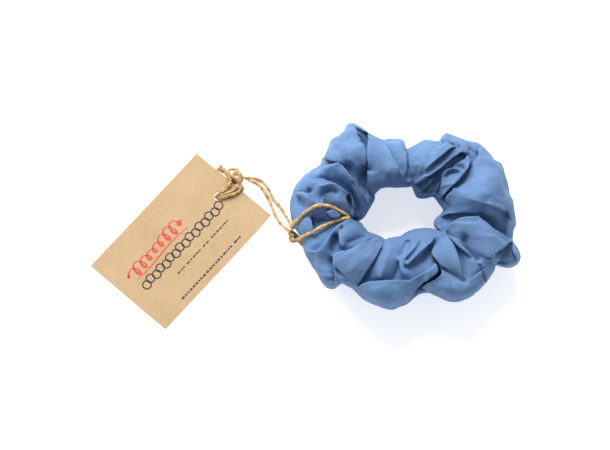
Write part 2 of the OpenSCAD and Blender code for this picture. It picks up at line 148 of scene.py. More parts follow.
    "c_top": [(-47, 30.4, 0, 0), (-43.1, 30.9, -1.5, 0.8), (-38.6, 31.8, -2.2, 2), (-34.7, 32.6, -2.6, 3), (-30.5, 27.8, -2.2, 3.2), (-25.7, 21.2, -1.8, 3), (-22.2, 15.3, -2.6, 2.6), (-19.1, 11.8, -1.5, 1)],
    "a_low": [(-22.2, 22.6, -3, -3), (-20.5, 18.4, -4.5, -4.5), (-18, 14.8, -3.5, -3.5)],
    "c_hollow": [(-47, 24.5, -2, -2), (-43.1, 24.8, -4, -4), (-38.3, 23.8, -4.2, -4.2), (-33.5, 21.5, -4.2, -4.2), (-29.8, 18.5, -4.4, -4.4), (-27.1, 14.2, -4.4, -4.4), (-25.3, 9.4, -4, -4), (-25.1, 5.2, -2.6, -2.6)],
    "c_ridge": [(-46.1, 21.8, -1.4, 1.2), (-43.4, 21.4, -1.6, 1.8), (-38.9, 22.1, -2, 2.2), (-35.2, 20.3, -2.2, 2.4), (-31.6, 17.8, -2.2, 2.4), (-29.3, 16.6, -2.4, 2)],
    "c_loop": [(-29.2, 16.5, -2, 0.4), (-27.8, 12.9, -2.4, 1.4), (-27.1, 8.8, -2.2, 1.2), (-28.3, 5.1, -1, 0.4)],
    "c_loopin": [(-30.5, 16, -2, 1.2), (-31.2, 14.1, -2.6, 1.6), (-29.9, 11.2, -2.4, 1.2), (-28.3, 7, -0.8, 0.4)],
    "c_out": [(-28.1, 22.6, 1, 1), (-24.6, 16.6, 1.2, 1.2), (-22.2, 10.6, 1.4, 1.4), (-22.8, 4.6, 1, 1)],
    "c_low": [(-58.6, 16.6, -0.4, 0.4), (-55, 17.2, -1, 1.2), (-52, 16.1, -1.2, 1.6), (-49, 13.6, -0.8, 1.6), (-46.1, 11.3, -0.2, 0.8)],
    "c_spot1": [(-52.3, 18.9, -1, -1), (-50.7, 17.5, -2.6, -2.6), (-49, 16.3, -1, -1)],
    "c_spot2": [(-58.3, 15.1, -0.6, -0.6), (-56.5, 14.2, -1.8, -1.8), (-54.4, 10.6, -1.8, -1.8), (-53.8, 8.2, -0.6, -0.6)],
    "c_fold": [(-52.6, 26, -0.6, 0.4), (-49.6, 24.1, -1.2, 1), (-47, 22.6, -1.2, 0.8)],
    "c_curl": [(-43.5, 11.7, -0.5, 0), (-43.7, 14.5, -1.8, 1.4), (-42.2, 16.8, -1.8, 1.4), (-39, 17.9, -1.2, 1), (-37.3, 16.7, -0.5, 0.5)],
    "w_oval": [(-41.4, 7.3, -0.6, 0.8), (-38.3, 8.2, -1.8, 1.6), (-34.6, 5.4, -1.4, 1.4), (-35.9, 3.9, -1.2, 1.2), (-39, 4.3, -1.2, 1.2), (-41, 6.2, -1, 1)],
    "w_edge": [(-50.7, 4.6, 0, 0), (-50.1, 2.3, -3.4, 1.4), (-49.2, -1.3, -3.2, 1.4), (-48.7, -4.9, -1.5, 0.8)],
    "w_pocket": [(-46.1, 1.7, -3.6, -3.6), (-43.1, 2.3, -3, -3), (-40.1, 0.6, -2, -2)],
    "cleft": [(-32.9, 3.3, -1, -1), (-29, 3.6, -4, -4), (-25.1, 2.3, -5, -5), (-22.8, 1.7, -4, -4)],
    "d_ridge": [(-52.3, -12.3, 0, 0), (-48.7, -13.8, -0.6, 1.2), (-45.3, -12.1, -1.6, 1.6), (-41.8, -7.8, -2.2, 2), (-38.2, -2.6, -2, 2.2), (-33.8, 0.9, -0.4, 2), (-28.1, 2.3, 0.6, 1.4), (-22.8, 0.6, 1, 0.8), (-20.1, -4, 0.6, 0.2)],
    "d_band": [(-33.8, -1.3, 0.2, 0.2), (-34.4, -5.5, 1.2, 1.2), (-32.9, -10.3, 0.6, 0.6)],
    "d_dark": [(-37, -5.5, -3, -3), (-37.3, -9.1, -3.8, -3.8), (-38.3, -12.4, -3.6, -3.6)],
    "d_dark2": [(-30.5, -9.1, -2, -2), (-25.7, -7.7, -2.4, -2.4), (-21.6, -6.1, -1.8, -1.8)],
}
# --- end of drawn lines ---


# ------------------------------------------------------------------ small helpers
def smooth1(a, n=1, wrap=True):
    for _ in range(n):
        a = 0.25 * np.roll(a, 1, 0) + 0.5 * a + 0.25 * np.roll(a, -1, 0) if wrap else a
    return a


def polar(points, angles, far):
    """Distance from C0 to a closed outline, at each angle."""
    p = np.array(points) - C0
    q = np.roll(p, -1, 0)
    out = np.zeros(len(angles))
    for i, a in enumerate(angles):
        d = np.array([math.cos(a), math.sin(a)])
        n = np.array([-d[1], d[0]])
        sp, sq = p @ n, q @ n
        hit = (sp <= 0) != (sq <= 0)
        t = sp[hit] / (sp[hit] - sq[hit])
        r = (p[hit] + t[:, None] * (q[hit] - p[hit])) @ d
        r = r[r > 0]
        out[i] = (r.max() if far else r.min()) if len(r) else 20.0
    return out


def bilinear(img, fx, fy):
    ny, nx = img.shape
    fx = np.clip(fx, 0, nx - 1.001)
    fy = np.clip(fy, 0, ny - 1.001)
    ix, iy = fx.astype(int), fy.astype(int)
    tx, ty = fx - ix, fy - iy
    return ((img[iy, ix] * (1 - tx) + img[iy, ix + 1] * tx) * (1 - ty)
            + (img[iy + 1, ix] * (1 - tx) + img[iy + 1, ix + 1] * tx) * ty)


def noise2(x, y, scale, seed):
    """Smooth value noise, periodic in neither direction."""
    r = np.random.default_rng(seed)
    tab = r.standard_normal((97, 97))
    u, v = x / scale + 31.7, y / scale + 17.3
    iu, iv = np.floor(u).astype(int), np.floor(v).astype(int)
    fu, fv = u - iu, v - iv
    fu, fv = fu * fu * (3 - 2 * fu), fv * fv * (3 - 2 * fv)
    g = lambda a, b: tab[a % 97, b % 97]
    return ((g(iu, iv) * (1 - fu) + g(iu + 1, iv) * fu) * (1 - fv)
            + (g(iu, iv + 1) * (1 - fu) + g(iu + 1, iv + 1) * fu) * fv)


def noise3(P, scale, seed):
    """Smooth value noise in space, about unit size."""
    r = np.random.default_rng(seed)
    tab = r.standard_normal((61, 61, 61))
    q = P / scale + 200.5
    i = np.floor(q).astype(int)
    f = q - i
    f = f * f * (3 - 2 * f)
    out = 0
    for a in (0, 1):
        for b in (0, 1):
            for c in (0, 1):
                w = (f[..., 0] if a else 1 - f[..., 0]) * (f[..., 1] if b else 1 - f[..., 1]) * (f[..., 2] if c else 1 - f[..., 2])
                out = out + w * tab[(i[..., 0] + a) % 61, (i[..., 1] + b) % 61, (i[..., 2] + c) % 61]
    return out


# ------------------------------------------------------------------ the relief of the folds
GX0, GY0, GX1, GY1 = -66.0, -52.0, 66.0, 60.0
ANG = np.linspace(0, 2 * math.pi, 1440, endpoint=False)
R_OUT = smooth1(polar(OUTER, ANG, True), 3)
R_IN = smooth1(polar(INNER, ANG, False), 3)


def radii(a):
    f = (a % (2 * math.pi)) / (2 * math.pi) * len(ANG)
    i = np.floor(f).astype(int)
    t = f - i
    i0, i1 = i % len(ANG), (i + 1) % len(ANG)
    return R_IN[i0] * (1 - t) + R_IN[i1] * t, R_OUT[i0] * (1 - t) + R_OUT[i1] * t


def relief(step, start=None, rounds=300, puff=0.075):
    nx = int(round((GX1 - GX0) / step)) + 1
    ny = int(round((GY1 - GY0) / step)) + 1
    X, Y = np.meshgrid(GX0 + step * np.arange(nx), GY0 + step * np.arange(ny))
    dx, dy = X - C0[0], Y - C0[1]
    r, a = np.hypot(dx, dy), np.arctan2(dy, dx)
    ri, ro = radii(a)
    free = (r > ri + 0.4) & (r < ro - 0.4)
    num = np.zeros_like(X)
    den = np.zeros_like(X)
    off = max(0.3, 0.6 * step)
    for pts in FOLDS.values():
        p = np.array(pts, float)
        for k in range(len(p) - 1):
            n = max(2, int(math.hypot(*(p[k + 1, :2] - p[k, :2])) / (0.35 * step)))
            t = np.linspace(0, 1, n)[:, None]
            # a smooth curve through the four neighbouring points
            a0, b0, c0, d0 = p[max(k - 1, 0)], p[k], p[k + 1], p[min(k + 2, len(p) - 1)]
            q = b0 + 0.5 * t * (c0 - a0 + t * (2 * a0 - 5 * b0 + 4 * c0 - d0 + t * (3 * (b0 - c0) + d0 - a0)))
            d = c0[:2] - b0[:2]
            d = d / np.hypot(*d)
            nrm = np.array([-d[1], d[0]])
            for side, col in ((1, 2), (-1, 3)):
                s = q[:, :2] + nrm * off * side
                ix = np.round((s[:, 0] - GX0) / step).astype(int)
                iy = np.round((s[:, 1] - GY0) / step).astype(int)
                np.add.at(num, (iy, ix), q[:, col])
                np.add.at(den, (iy, ix), 1.0)
    pin = (den > 0) & free
    val = np.where(pin, num / np.maximum(den, 1), 0.0)
    R = np.zeros_like(X)
    if start is not None:
        s0, g0 = start
        R = bilinear(s0, (X - GX0) / g0, (Y - GY0) / g0)
    src = puff * step * step / 4
    for _ in range(rounds):
        A = np.zeros_like(R)
        A[1:-1, 1:-1] = 0.25 * (R[:-2, 1:-1] + R[2:, 1:-1] + R[1:-1, :-2] + R[1:-1, 2:]) + src
        R = np.where(pin, val, np.where(free, A, A - src))
    return R, step


def blur(R, n):
    for _ in range(n):
        R = 0.25 * np.roll(R, 1, 0) + 0.5 * R + 0.25 * np.roll(R, -1, 0)
        R = 0.25 * np.roll(R, 1, 1) + 0.5 * R + 0.25 * np.roll(R, -1, 1)
    return R


lv = relief(2.0, None, 400)
lv = relief(1.0, lv, 250)
lv = relief(0.5, lv, 200)
REL, GSTEP = relief(0.25, lv, 160)
REL = blur(REL, 3)
REL = (REL + 0.45 * (REL - blur(REL, 14))) * 1.85

# where a fold stands high beside a low place, its rim leans out over it, as lapped cloth does
_rb = blur(REL, 45)
_gy, _gx = np.gradient(_rb, GSTEP)
_hh = np.clip((REL - _rb) / 1.1, -1, 1)
LEANX, LEANY = -_gx * _hh * 0.50, -_gy * _hh * 0.50
_m = np.hypot(LEANX, LEANY)
_k = np.where(_m > 1e-6, 1.25 * np.tanh(_m / 1.25) / np.maximum(_m, 1e-6), 1)
LEANX, LEANY = blur(LEANX * _k, 2), blur(LEANY * _k, 2)


def rel_at(x, y, field=None):
    return bilinear(REL if field is None else field, (x - GX0) / GSTEP, (y - GY0) / GSTEP)


# ------------------------------------------------------------------ the cloth ring
NU = 640
NT, NB = ((120, 84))       # rows of the seen side and of the hidden side

def dome_height(a):
    """Half thickness of the tube towards the eye: it is drawn in where the twine goes round."""
    d = (a - math.radians(186) + math.pi) % (2 * math.pi) - math.pi
    return 18.2 - 5.0 * np.exp(-(d / math.radians(11)) ** 2)


def build_cover():
    a = np.linspace(0, 2 * math.pi, NU, endpoint=False)
    ri, ro = radii(a)
    # seen side, from the inner outline to the outer one
    st = (1 - np.cos(np.pi * (np.arange(NT) + 0.5) / NT)) / 2
    sb = (1 - np.cos(np.pi * (np.arange(NB) + 0.5) / NB)) / 2
    A = a[:, None]
    def place(s):
        r = ri[:, None] + (ro - ri)[:, None] * s[None, :]
        return C0[0] + r * np.cos(A), C0[1] + r * np.sin(A)
    xt, yt = place(st)
    H = dome_height(a)[:, None]
    arch = lambda s: (1 - np.abs(2 * s - 1) ** 2.15) ** (1 / 2.15)
    edge = (ro - ri)[:, None] * np.minimum(st, 1 - st)[None, :] / 2.2
    edge = np.clip(edge, 0, 1)
    deep = np.clip((ro - ri)[:, None] * np.minimum(st, 1 - st)[None, :] / 5.0, 0, 1)
    rel = rel_at(xt, yt)
    # hollows run out gently towards the outline, raised folds keep their body up to it
    fade = np.where(rel > 0, edge * edge * (3 - 2 * edge), deep ** 1.3)
    ht = mid_h(yt) + H * arch(st)[None, :] + rel * fade
    xb, yb = place(sb)
    # hidden side: pleats that run across the tube, drawn together towards the opening
    r2 = np.random.default_rng(11)
    npl = 15
    va = (np.arange(npl) + 0.35 * r2.uniform(-1, 1, npl)) / npl * 2 * math.pi
    shear = r2.uniform(-0.16, 0.16, npl)
    depth = r2.uniform(2.2, 4.2, npl)
    R = np.zeros_like(xb)
    s = sb[None, :]
    for k in range(npl):
        a0 = va[k] + shear[k] * (s - 0.5) * 2 + 0.05 * np.sin(7 * s + k)
        d = (A - a0 + math.pi) % (2 * math.pi) - math.pi
        w = 0.10 + 0.04 * math.sin(3.1 * k)
        R = R - depth[k] * np.exp(-np.abs(d) / w * 1.6)
    R = (R + 1.6) * np.sin(np.pi * s) ** 0.6
    R = R + 0.35 * noise2(xb, yb, 4.0, 5) * np.sin(np.pi * s)
    hb = mid_h(yb) - (H * arch(sb)[None, :] + R)
    soft = deep * deep * (3 - 2 * deep)
    T = lift(xt + rel_at(xt, yt, LEANX) * soft, yt + rel_at(xt, yt, LEANY) * soft, ht)
    B = lift(xb, yb, hb)
    # resting on the floor: the underside flattens smoothly
    z = B[..., 2]
    k = 2.2
    B[..., 2] = np.where(z > 12, z, 0.45 + k * np.log1p(np.exp(np.clip((z - 0.45) / k, -30, 30))) - k * math.log(2) * np.exp(-np.clip(z - 0.45, 0, None) / k))
    B[..., 2] = np.maximum(B[..., 2], 0.4)
    P = np.concatenate([T, B[:, ::-1]], 1)
    return P


def grid_mesh(name, P, closed_v=True):
    nu, nv = P.shape[:2]
    me = bpy.data.meshes.new(name)
    idx = np.arange(nu * nv).reshape(nu, nv)
    i1 = np.roll(idx, -1, 0)
    f = np.stack([idx, i1, np.roll(i1, -1, 1), np.roll(idx, -1, 1)], -1)
    if not closed_v:
        f = f[:, :-1]
    f = f.reshape(-1, 4)
    me.from_pydata((P.reshape(-1, 3) * MM).tolist(), [], f.tolist())
    me.validate()
    ob = bpy.data.objects.new(name, me)
    bpy.context.scene.collection.objects.link(ob)
    return ob




def crumple(P, grow, rounds, goal, stiff, seed):
    """A position-based cloth solve: the cloth is given more length than the drawn shape has, and buckles into small creases
    while every point stays tied softly to where the folds put it."""
    nu, nv = P.shape[:2]
    du, dv = np.roll(P, -1, 0) - np.roll(P, 1, 0), np.roll(P, -1, 1) - np.roll(P, 1, 1)
    nrm = np.cross(du, dv)
    nrm /= np.linalg.norm(nrm, axis=2)[..., None] + 1e-9
    out = P - C0[0] * EX - C0[1] * EU - 17.0 * np.array([0, 0, 1.0])
    mid = P.mean(1, keepdims=True)
    nrm *= np.sign(((P - mid) * nrm).sum(-1).mean())
    warp = P + 3.5 * np.stack([noise3(P, 10.0, seed + 1), noise3(P, 10.0, seed + 2), noise3(P, 10.0, seed + 3)], -1)
    soft = noise3(warp, 9.0, seed + 4)
    ridged = 1 - 2.2 * np.abs(noise3(warp * (1.0, 1.35, 1.0), 11.0, seed + 5))
    fine = noise3(warp, 4.2, seed + 6)
    tiny = noise3(P, 2.0, seed + 7)
    where = 0.55 + 0.45 * np.tanh(1.5 * noise3(P, 22.0, seed + 8))
    D = 0.42 * soft + 0.55 * ridged * where + 0.20 * fine * where + 0.045 * tiny
    X = P + nrm * (D - D.mean())[..., None]
    fam = []
    for ax, ay in ((1, 0), (0, 1), (1, 1), (1, -1)):
        L0 = np.linalg.norm(np.roll(P, (-ax, -ay), (0, 1)) - P, axis=2)
        fam.append((ax, ay, L0 * (1 + grow), stiff if ax * ay == 0 else stiff * 0.4))
    V = np.zeros_like(X)
    A = X.copy()
    for it in range(rounds):
        corr = np.zeros_like(X)
        for ax, ay, L0, k in fam:
            d = np.roll(X, (-ax, -ay), (0, 1)) - X
            n = np.linalg.norm(d, axis=2)
            c = (k * 0.5 * (n - L0) / np.maximum(n, 1e-9))[..., None] * d
            corr += c - np.roll(c, (ax, ay), (0, 1))
        lap = 0.25 * (np.roll(X, 1, 0) + np.roll(X, -1, 0) + np.roll(X, 1, 1) + np.roll(X, -1, 1)) - X
        V = 0.8 * V + corr * 0.4 + goal * (A - X) + 0.03 * lap
        X = X + V * 0.5
    return X


def stitches(line, length, gap, width, off):
    """Separate stitches laid on the cloth along a line of the picture."""
    q = resample(spline([(x, y, 0.0) for x, y in line], 8), 0.25)[0]
    h = [on_cloth(x, y, off) for x, y, _ in q]
    q = np.array([v for v in h if v is not None])
    for _ in range(2):
        q[1:-1] = 0.25 * q[:-2] + 0.5 * q[1:-1] + 0.25 * q[2:]
    s_ = np.concatenate([[0], np.cumsum(np.linalg.norm(np.diff(q, axis=0), axis=1))])
    parts, x = [], 0.3
    while x + length < s_[-1]:
        t_ = np.linspace(x, x + length, 9)
        c = np.stack([np.interp(t_, s_, q[:, k]) for k in range(3)], 1)
        f_ = np.linspace(0, 1, 9)
        c -= EC * (0.30 * (2 * f_ - 1) ** 4)[:, None]
        t3, u3, w3 = frames_of(c)
        rad = width / 2 * (1 - 0.75 * np.abs(2 * f_ - 1) ** 6)
        a_ = 2 * math.pi * np.arange(6) / 6
        R_ = c[:, None, :] + rad[:, None, None] * (np.cos(a_)[None, :, None] * u3[:, None, :] + np.sin(a_)[None, :, None] * w3[:, None, :])
        F_ = [[6 * i + j, 6 * i + (j + 1) % 6, 6 * i + 6 + (j + 1) % 6, 6 * i + 6 + j] for i in range(8) for j in range(6)]
        F_ += [[5, 4, 3, 2, 1, 0], [48, 49, 50, 51, 52, 53]]
        parts.append((R_.reshape(-1, 3), F_))
        x += length + gap
    return parts


P = build_cover()
P = crumple(P, 0.012, 24, 0.03, 0.5, 3)
P[..., 2] = np.maximum(P[..., 2], 0.3)
cover = grid_mesh("cotton_cover", P)
cover.data.polygons.foreach_set("use_smooth", [True] * len(cover.data.polygons))


def cloth_uv(ob, P):
    """UVs in metres: along the ring and round the tube, so that the weave has its real scale."""
    nu, nv = P.shape[:2]
    lu = np.linalg.norm(np.roll(P, -1, 0) - P, axis=2).mean(1)
    U = np.concatenate([[0], np.cumsum(lu)])
    lv_ = np.linalg.norm(np.roll(P, -1, 1) - P, axis=2)
    W = np.concatenate([np.zeros((nu, 1)), np.cumsum(lv_, 1)], 1)
    W = W / W[:, -1:] * W[:, -1].mean()
    uv = ob.data.uv_layers.new(name="UVMap")
    out = np.zeros((nu * nv, 4, 2))
    i = np.repeat(np.arange(nu), nv)
    j = np.tile(np.arange(nv), nu)
    for c, (a, b) in enumerate(((0, 0), (1, 0), (1, 1), (0, 1))):
        out[:, c, 0] = U[i + a]
        out[:, c, 1] = W[(i + a) % nu, j + b]
    uv.data.foreach_set("uv", (out * MM).ravel())


cloth_uv(cover, P)


# ------------------------------------------------------------------ materials
def srgb(r, g, b):
    f = lambda c: c / 12.92 if c <= 0.04045 else ((c + 0.055) / 1.055) ** 2.4
    return (f(r / 255), f(g / 255), f(b / 255), 1.0)


def new_mat(name):
    m = bpy.data.materials.new(name)
    m.use_nodes = True
    nt = m.node_tree
    return m, nt, nt.nodes["Principled BSDF"]


def weave_mat(name, dark, light, pitch, bump=0.00005):
    """Woven cloth: over-and-under threads at their real pitch, slubs, and a slow drift of shade."""
    m, nt, bs = new_mat(name)
    N, L = nt.nodes, nt.links
    tc = N.new("ShaderNodeTexCoord")
    sep = N.new("ShaderNodeSeparateXYZ")
    L.new(tc.outputs["UV"], sep.inputs[0])
    w = []
    for k in ("X", "Y"):
        a = N.new("ShaderNodeMath")
        a.operation = "MULTIPLY"
        a.inputs[1].default_value = 2 * math.pi / pitch
        L.new(sep.outputs[k], a.inputs[0])
        b = N.new("ShaderNodeMath")
        b.operation = "SINE"
        L.new(a.outputs[0], b.inputs[0])
        w.append(b)
    wv = N.new("ShaderNodeMath")
    wv.operation = "MULTIPLY"
    L.new(w[0].outputs[0], wv.inputs[0])
    L.new(w[1].outputs[0], wv.inputs[1])
    slub = N.new("ShaderNodeTexNoise")
    slub.inputs["Scale"].default_value = 1.0
    slub.inputs["Detail"].default_value = 3.0
    mp = N.new("ShaderNodeMapping")
    mp.inputs["Scale"].default_value = (180.0, 2400.0, 1.0)
    L.new(tc.outputs["UV"], mp.inputs["Vector"])
    L.new(mp.outputs["Vector"], slub.inputs["Vector"])
    slub2 = N.new("ShaderNodeTexNoise")
    slub2.inputs["Scale"].default_value = 1.0
    slub2.inputs["Detail"].default_value = 3.0
    mp2 = N.new("ShaderNodeMapping")
    mp2.inputs["Scale"].default_value = (2400.0, 180.0, 1.0)
    L.new(tc.outputs["UV"], mp2.inputs["Vector"])
    L.new(mp2.outputs["Vector"], slub2.inputs["Vector"])
    drift = N.new("ShaderNodeTexNoise")
    drift.inputs["Scale"].default_value = 55.0
    drift.inputs["Detail"].default_value = 4.0
    L.new(tc.outputs["Object"], drift.inputs["Vector"])
    s1 = N.new("ShaderNodeMath")
    s1.operation = "ADD"
    L.new(slub.outputs["Fac"], s1.inputs[0])
    L.new(slub2.outputs["Fac"], s1.inputs[1])
    s2 = N.new("ShaderNodeMath")
    s2.operation = "ADD"
    L.new(s1.outputs[0], s2.inputs[0])
    L.new(drift.outputs["Fac"], s2.inputs[1])
    s3 = N.new("ShaderNodeMath")
    s3.operation = "MULTIPLY_ADD"
    L.new(wv.outputs[0], s3.inputs[0])
    s3.inputs[1].default_value = 0.10
    L.new(s2.outputs[0], s3.inputs[2])
    s4 = N.new("ShaderNodeMath")
    s4.operation = "DIVIDE"
    s4.inputs[1].default_value = 3.0
    L.new(s3.outputs[0], s4.inputs[0])
    cr = N.new("ShaderNodeValToRGB")
    cr.color_ramp.elements[0].position = 0.36
    cr.color_ramp.elements[0].color = dark
    cr.color_ramp.elements[1].position = 0.64
    cr.color_ramp.elements[1].color = light
    L.new(s4.outputs[0], cr.inputs["Fac"])
    L.new(cr.outputs["Color"], bs.inputs["Base Color"])
    h = N.new("ShaderNodeMath")
    h.operation = "ADD"
    L.new(wv.outputs[0], h.inputs[0])
    L.new(s1.outputs[0], h.inputs[1])
    bp = N.new("ShaderNodeBump")
    bp.inputs["Strength"].default_value = 0.7
    bp.inputs["Distance"].default_value = bump
    L.new(h.outputs[0], bp.inputs["Height"])
    L.new(bp.outputs["Normal"], bs.inputs["Normal"])
    bs.inputs["Roughness"].default_value = 0.82
    bs.inputs["Specular IOR Level"].default_value = 0.25
    bs.inputs["Sheen Weight"].default_value = 0.14
    bs.inputs["Sheen Roughness"].default_value = 0.45
    bs.inputs["Sheen Tint"].default_value = srgb(190, 210, 245)
    return m


m_cotton = weave_mat("cotton_poplin", srgb(84, 114, 156), srgb(106, 139, 181), 0.00034)
cover.data.materials.append(m_cotton)

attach(cover, "ring")
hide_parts("fabric_cover")

# ------------------------------------------------------------------ the jute twine
TWINE_D = 1.9


def spline(pts, n):
    """Catmull-Rom through the points, n steps each."""
    p = np.array(pts, float)
    out = []
    for k in range(len(p) - 1):
        a, b, c, d = p[max(k - 1, 0)], p[k], p[k + 1], p[min(k + 2, len(p) - 1)]
        t = np.linspace(0, 1, n, endpoint=False)[:, None]
        out.append(b + 0.5 * t * (c - a + t * (2 * a - 5 * b + 4 * c - d + t * (3 * (b - c) + d - a))))
    out.append(p[-1:])
    return np.concatenate(out)


def resample(p, step):
    s = np.concatenate([[0], np.cumsum(np.linalg.norm(np.diff(p, axis=0), axis=1))])
    n = max(3, int(round(s[-1] / step)) + 1)
    t = np.linspace(0, s[-1], n)
    return np.stack([np.interp(t, s, p[:, k]) for k in range(3)], 1), s[-1]


def soften(p, n):
    for _ in range(n):
        p = np.concatenate([p[:1], 0.25 * p[:-2] + 0.5 * p[1:-1] + 0.25 * p[2:], p[-1:]])
    return p


def frames_of(p):
    t = np.gradient(p, axis=0)
    t /= np.linalg.norm(t, axis=1)[:, None]
    u = np.zeros_like(p)
    v = np.array([0, 0, 1.0]) if abs(t[0, 2]) < 0.8 else np.array([0, 1.0, 0])
    for i in range(len(p)):
        v = v - t[i] * (t[i] @ v)
        v = v / np.linalg.norm(v)
        u[i] = v
    return t, u, np.cross(t, u)


def twisted(p, d, pitch=4.6, plies=3, sides=9, phase=0.0, seed=1, taper=(True, True), unlay=0.0):
    """A laid cord along p: plies that twist round it, each a little uneven. Returns vertices, faces and per-vertex UVs."""
    r = np.random.default_rng(seed)
    t, u, w = frames_of(p)
    n = len(p)
    s = np.concatenate([[0], np.cumsum(np.linalg.norm(np.diff(p, axis=0), axis=1))])
    V, F, U = [], [], []
    base = 0
    rp, rr = 0.262 * d, 0.262 * d
    ks = np.arange(0, s[-1] + 6, 3.0)
    wob = np.interp(s, ks, 1 + 0.08 * r.standard_normal(len(ks)))
    for k in range(plies):
        kl = np.arange(0, s[-1] + 4, 1.1)
        lump = np.interp(s, kl, 1 + 0.13 * r.standard_normal(len(kl)))
        ph = 2 * math.pi * (s / pitch + k / plies) + phase
        open_ = 1 + unlay * np.clip((s - s[-1] + 3.0) / 3.0, 0, 1)
        c = p + (rp * wob * open_)[:, None] * (np.cos(ph)[:, None] * u + np.sin(ph)[:, None] * w)
        a = 2 * math.pi * np.arange(sides) / sides
        rad = rr * wob * lump
        if taper[0]:
            rad = rad * np.sqrt(np.clip(s / (0.35 * d), 0.02, 1))
        if taper[1]:
            rad = rad * np.sqrt(np.clip((s[-1] - s) / (0.35 * d), 0.02, 1))
        fibre = 1 + 0.06 * np.sin(3 * a[None, :] + ph[:, None] * 1.7 + k)
        ring = c[:, None, :] + (rad[:, None] * fibre)[..., None] * (np.cos(a)[None, :, None] * u[:, None, :] + np.sin(a)[None, :, None] * w[:, None, :])
        V.append(ring.reshape(-1, 3))
        U.append(np.stack([np.repeat(s, sides) * 0.01 + 0.37 * k + 0.11 * seed, np.tile(np.abs(np.arange(sides) / sides * 2 - 1), n)], 1))
        i = np.arange(n - 1)[:, None] * sides
        j = np.arange(sides)[None, :]
        q = np.stack([i + j, i + (j + 1) % sides, i + sides + (j + 1) % sides, i + sides + j], -1).reshape(-1, 4) + base
        F += q.tolist()
        F.append([base + x for x in range(sides - 1, -1, -1)])
        F.append([base + (n - 1) * sides + x for x in range(sides)])
        base += n * sides
    return np.concatenate(V), F, np.concatenate(U)


def hairs(p, d, count, seed, long=1.6):
    """Loose fibres that stand off a cord: thin three-sided hairs."""
    r = np.random.default_rng(seed)
    t, u, w = frames_of(p)
    V, F = [], []
    for _ in range(count):
        i = r.integers(2, len(p) - 2)
        a = r.uniform(0, 2 * math.pi)
        out = math.cos(a) * u[i] + math.sin(a) * w[i]
        along = t[i] * r.choice([-1, 1])
        side = np.cross(out, along)
        L = r.uniform(0.5, long)
        q0 = p[i] + out * d * 0.42
        lean = r.uniform(0.6, 1.6)
        bend = r.uniform(-0.6, 0.6)
        pts = [q0 + L * f * (along * lean * 0.6 + out * (0.75 - 0.45 * f)) + side * bend * f * f * L for f in (0, 0.35, 0.7, 1.0)]
        b = len(V)
        for m, q in enumerate(pts):
            q[2] = max(q[2], 0.12)
            rad = 0.045 * (1 - 0.6 * m / 3)
            for x in range(3):
                ang = 2 * math.pi * x / 3
                V.append(q + rad * (math.cos(ang) * out + math.sin(ang) * side))
        for m in range(3):
            for x in range(3):
                F.append([b + 3 * m + x, b + 3 * m + (x + 1) % 3, b + 3 * m + 3 + (x + 1) % 3, b + 3 * m + 3 + x])
        F.append([b + 2, b + 1, b])
        F.append([b + 9, b + 10, b + 11])
    return np.array(V), F


def mesh_of(name, V, F, U=None, smooth=True):
    me = bpy.data.meshes.new(name)
    me.from_pydata((np.asarray(V) * MM).tolist(), [], F)
    me.validate()
    ob = bpy.data.objects.new(name, me)
    bpy.context.scene.collection.objects.link(ob)
    if smooth:
        me.polygons.foreach_set("use_smooth", [True] * len(me.polygons))
    if U is not None:
        uv = me.uv_layers.new(name="UVMap")
        li = np.zeros(len(me.loops), int)
        me.loops.foreach_get("vertex_index", li)
        uv.data.foreach_set("uv", np.asarray(U)[li].ravel())
    return ob


def join_vf(parts):
    V, F, U, b = [], [], [], 0
    for q in parts:
        V.append(q[0])
        F += [[x + b for x in f] for f in q[1]]
        if len(q) > 2:
            U.append(q[2])
        b += len(q[0])
    return np.concatenate(V), F, (np.concatenate(U) if U else None)


def brush(tip, direction, d, count, seed, long=3.2):
    """The frayed end of a cut cord: a bundle of bent fibres that spread from it."""
    r = np.random.default_rng(seed)
    direction = direction / np.linalg.norm(direction)
    a = np.cross(direction, [0, 0, 1.0])
    a /= np.linalg.norm(a)
    b = np.cross(direction, a)
    V, F = [], []
    for _ in range(count):
        q, w = r.uniform(0, 2 * math.pi), math.sqrt(r.uniform(0, 1))
        o = math.cos(q) * a + math.sin(q) * b
        o2 = r.normal(0, 1, 3)
        L = r.uniform(0.45, 1.0) * long
        v0 = len(V)
        for m in range(5):
            f = m / 4
            c = tip - direction * 0.6 + o * w * d * 0.42 + L * f * (direction + o * w * 0.35 * f + o2 * 0.16 * f * f)
            c[2] = max(c[2], 0.15)
            rad = (0.085 - 0.05 * f)
            for x in range(3):
                ang = 2 * math.pi * x / 3
                V.append(c + rad * (math.cos(ang) * a + math.sin(ang) * b))
        for m in range(4):
            for x in range(3):
                F.append([v0 + 3 * m + x, v0 + 3 * m + (x + 1) % 3, v0 + 3 * m + 3 + (x + 1) % 3, v0 + 3 * m + 3 + x])
        F.append([v0 + 2, v0 + 1, v0])
        F.append([v0 + 12, v0 + 13, v0 + 14])
    return np.array(V), F


bpy.context.view_layer.update()
co = np.array([v.co for v in cover.data.vertices]) / MM
faces_ = [tuple(q.vertices) for q in cover.data.polygons]
_q = np.array(faces_[:4000:7])
_n = np.cross(co[_q[:, 1]] - co[_q[:, 0]], co[_q[:, 2]] - co[_q[:, 0]])
_tube = P.mean(1)[_q[:, 0] // P.shape[1]]
if ((co[_q[:, 0]] - _tube) * _n).sum() < 0:
    faces_ = [f[::-1] for f in faces_]
tree = BVHTree.FromPolygons([Vector(c) for c in co], faces_)


def on_cloth(x, y, off):
    """The point off mm above the cloth, where the line of sight through view-plane x, y meets it."""
    o = x * EX + y * EU + 120 * EC
    hit, n, _, _ = tree.ray_cast(Vector(o), Vector(-EC))
    if hit is None:
        return None
    n = np.array(n)
    if n @ EC < 0:
        n = -n
    return np.array(hit) + off * n


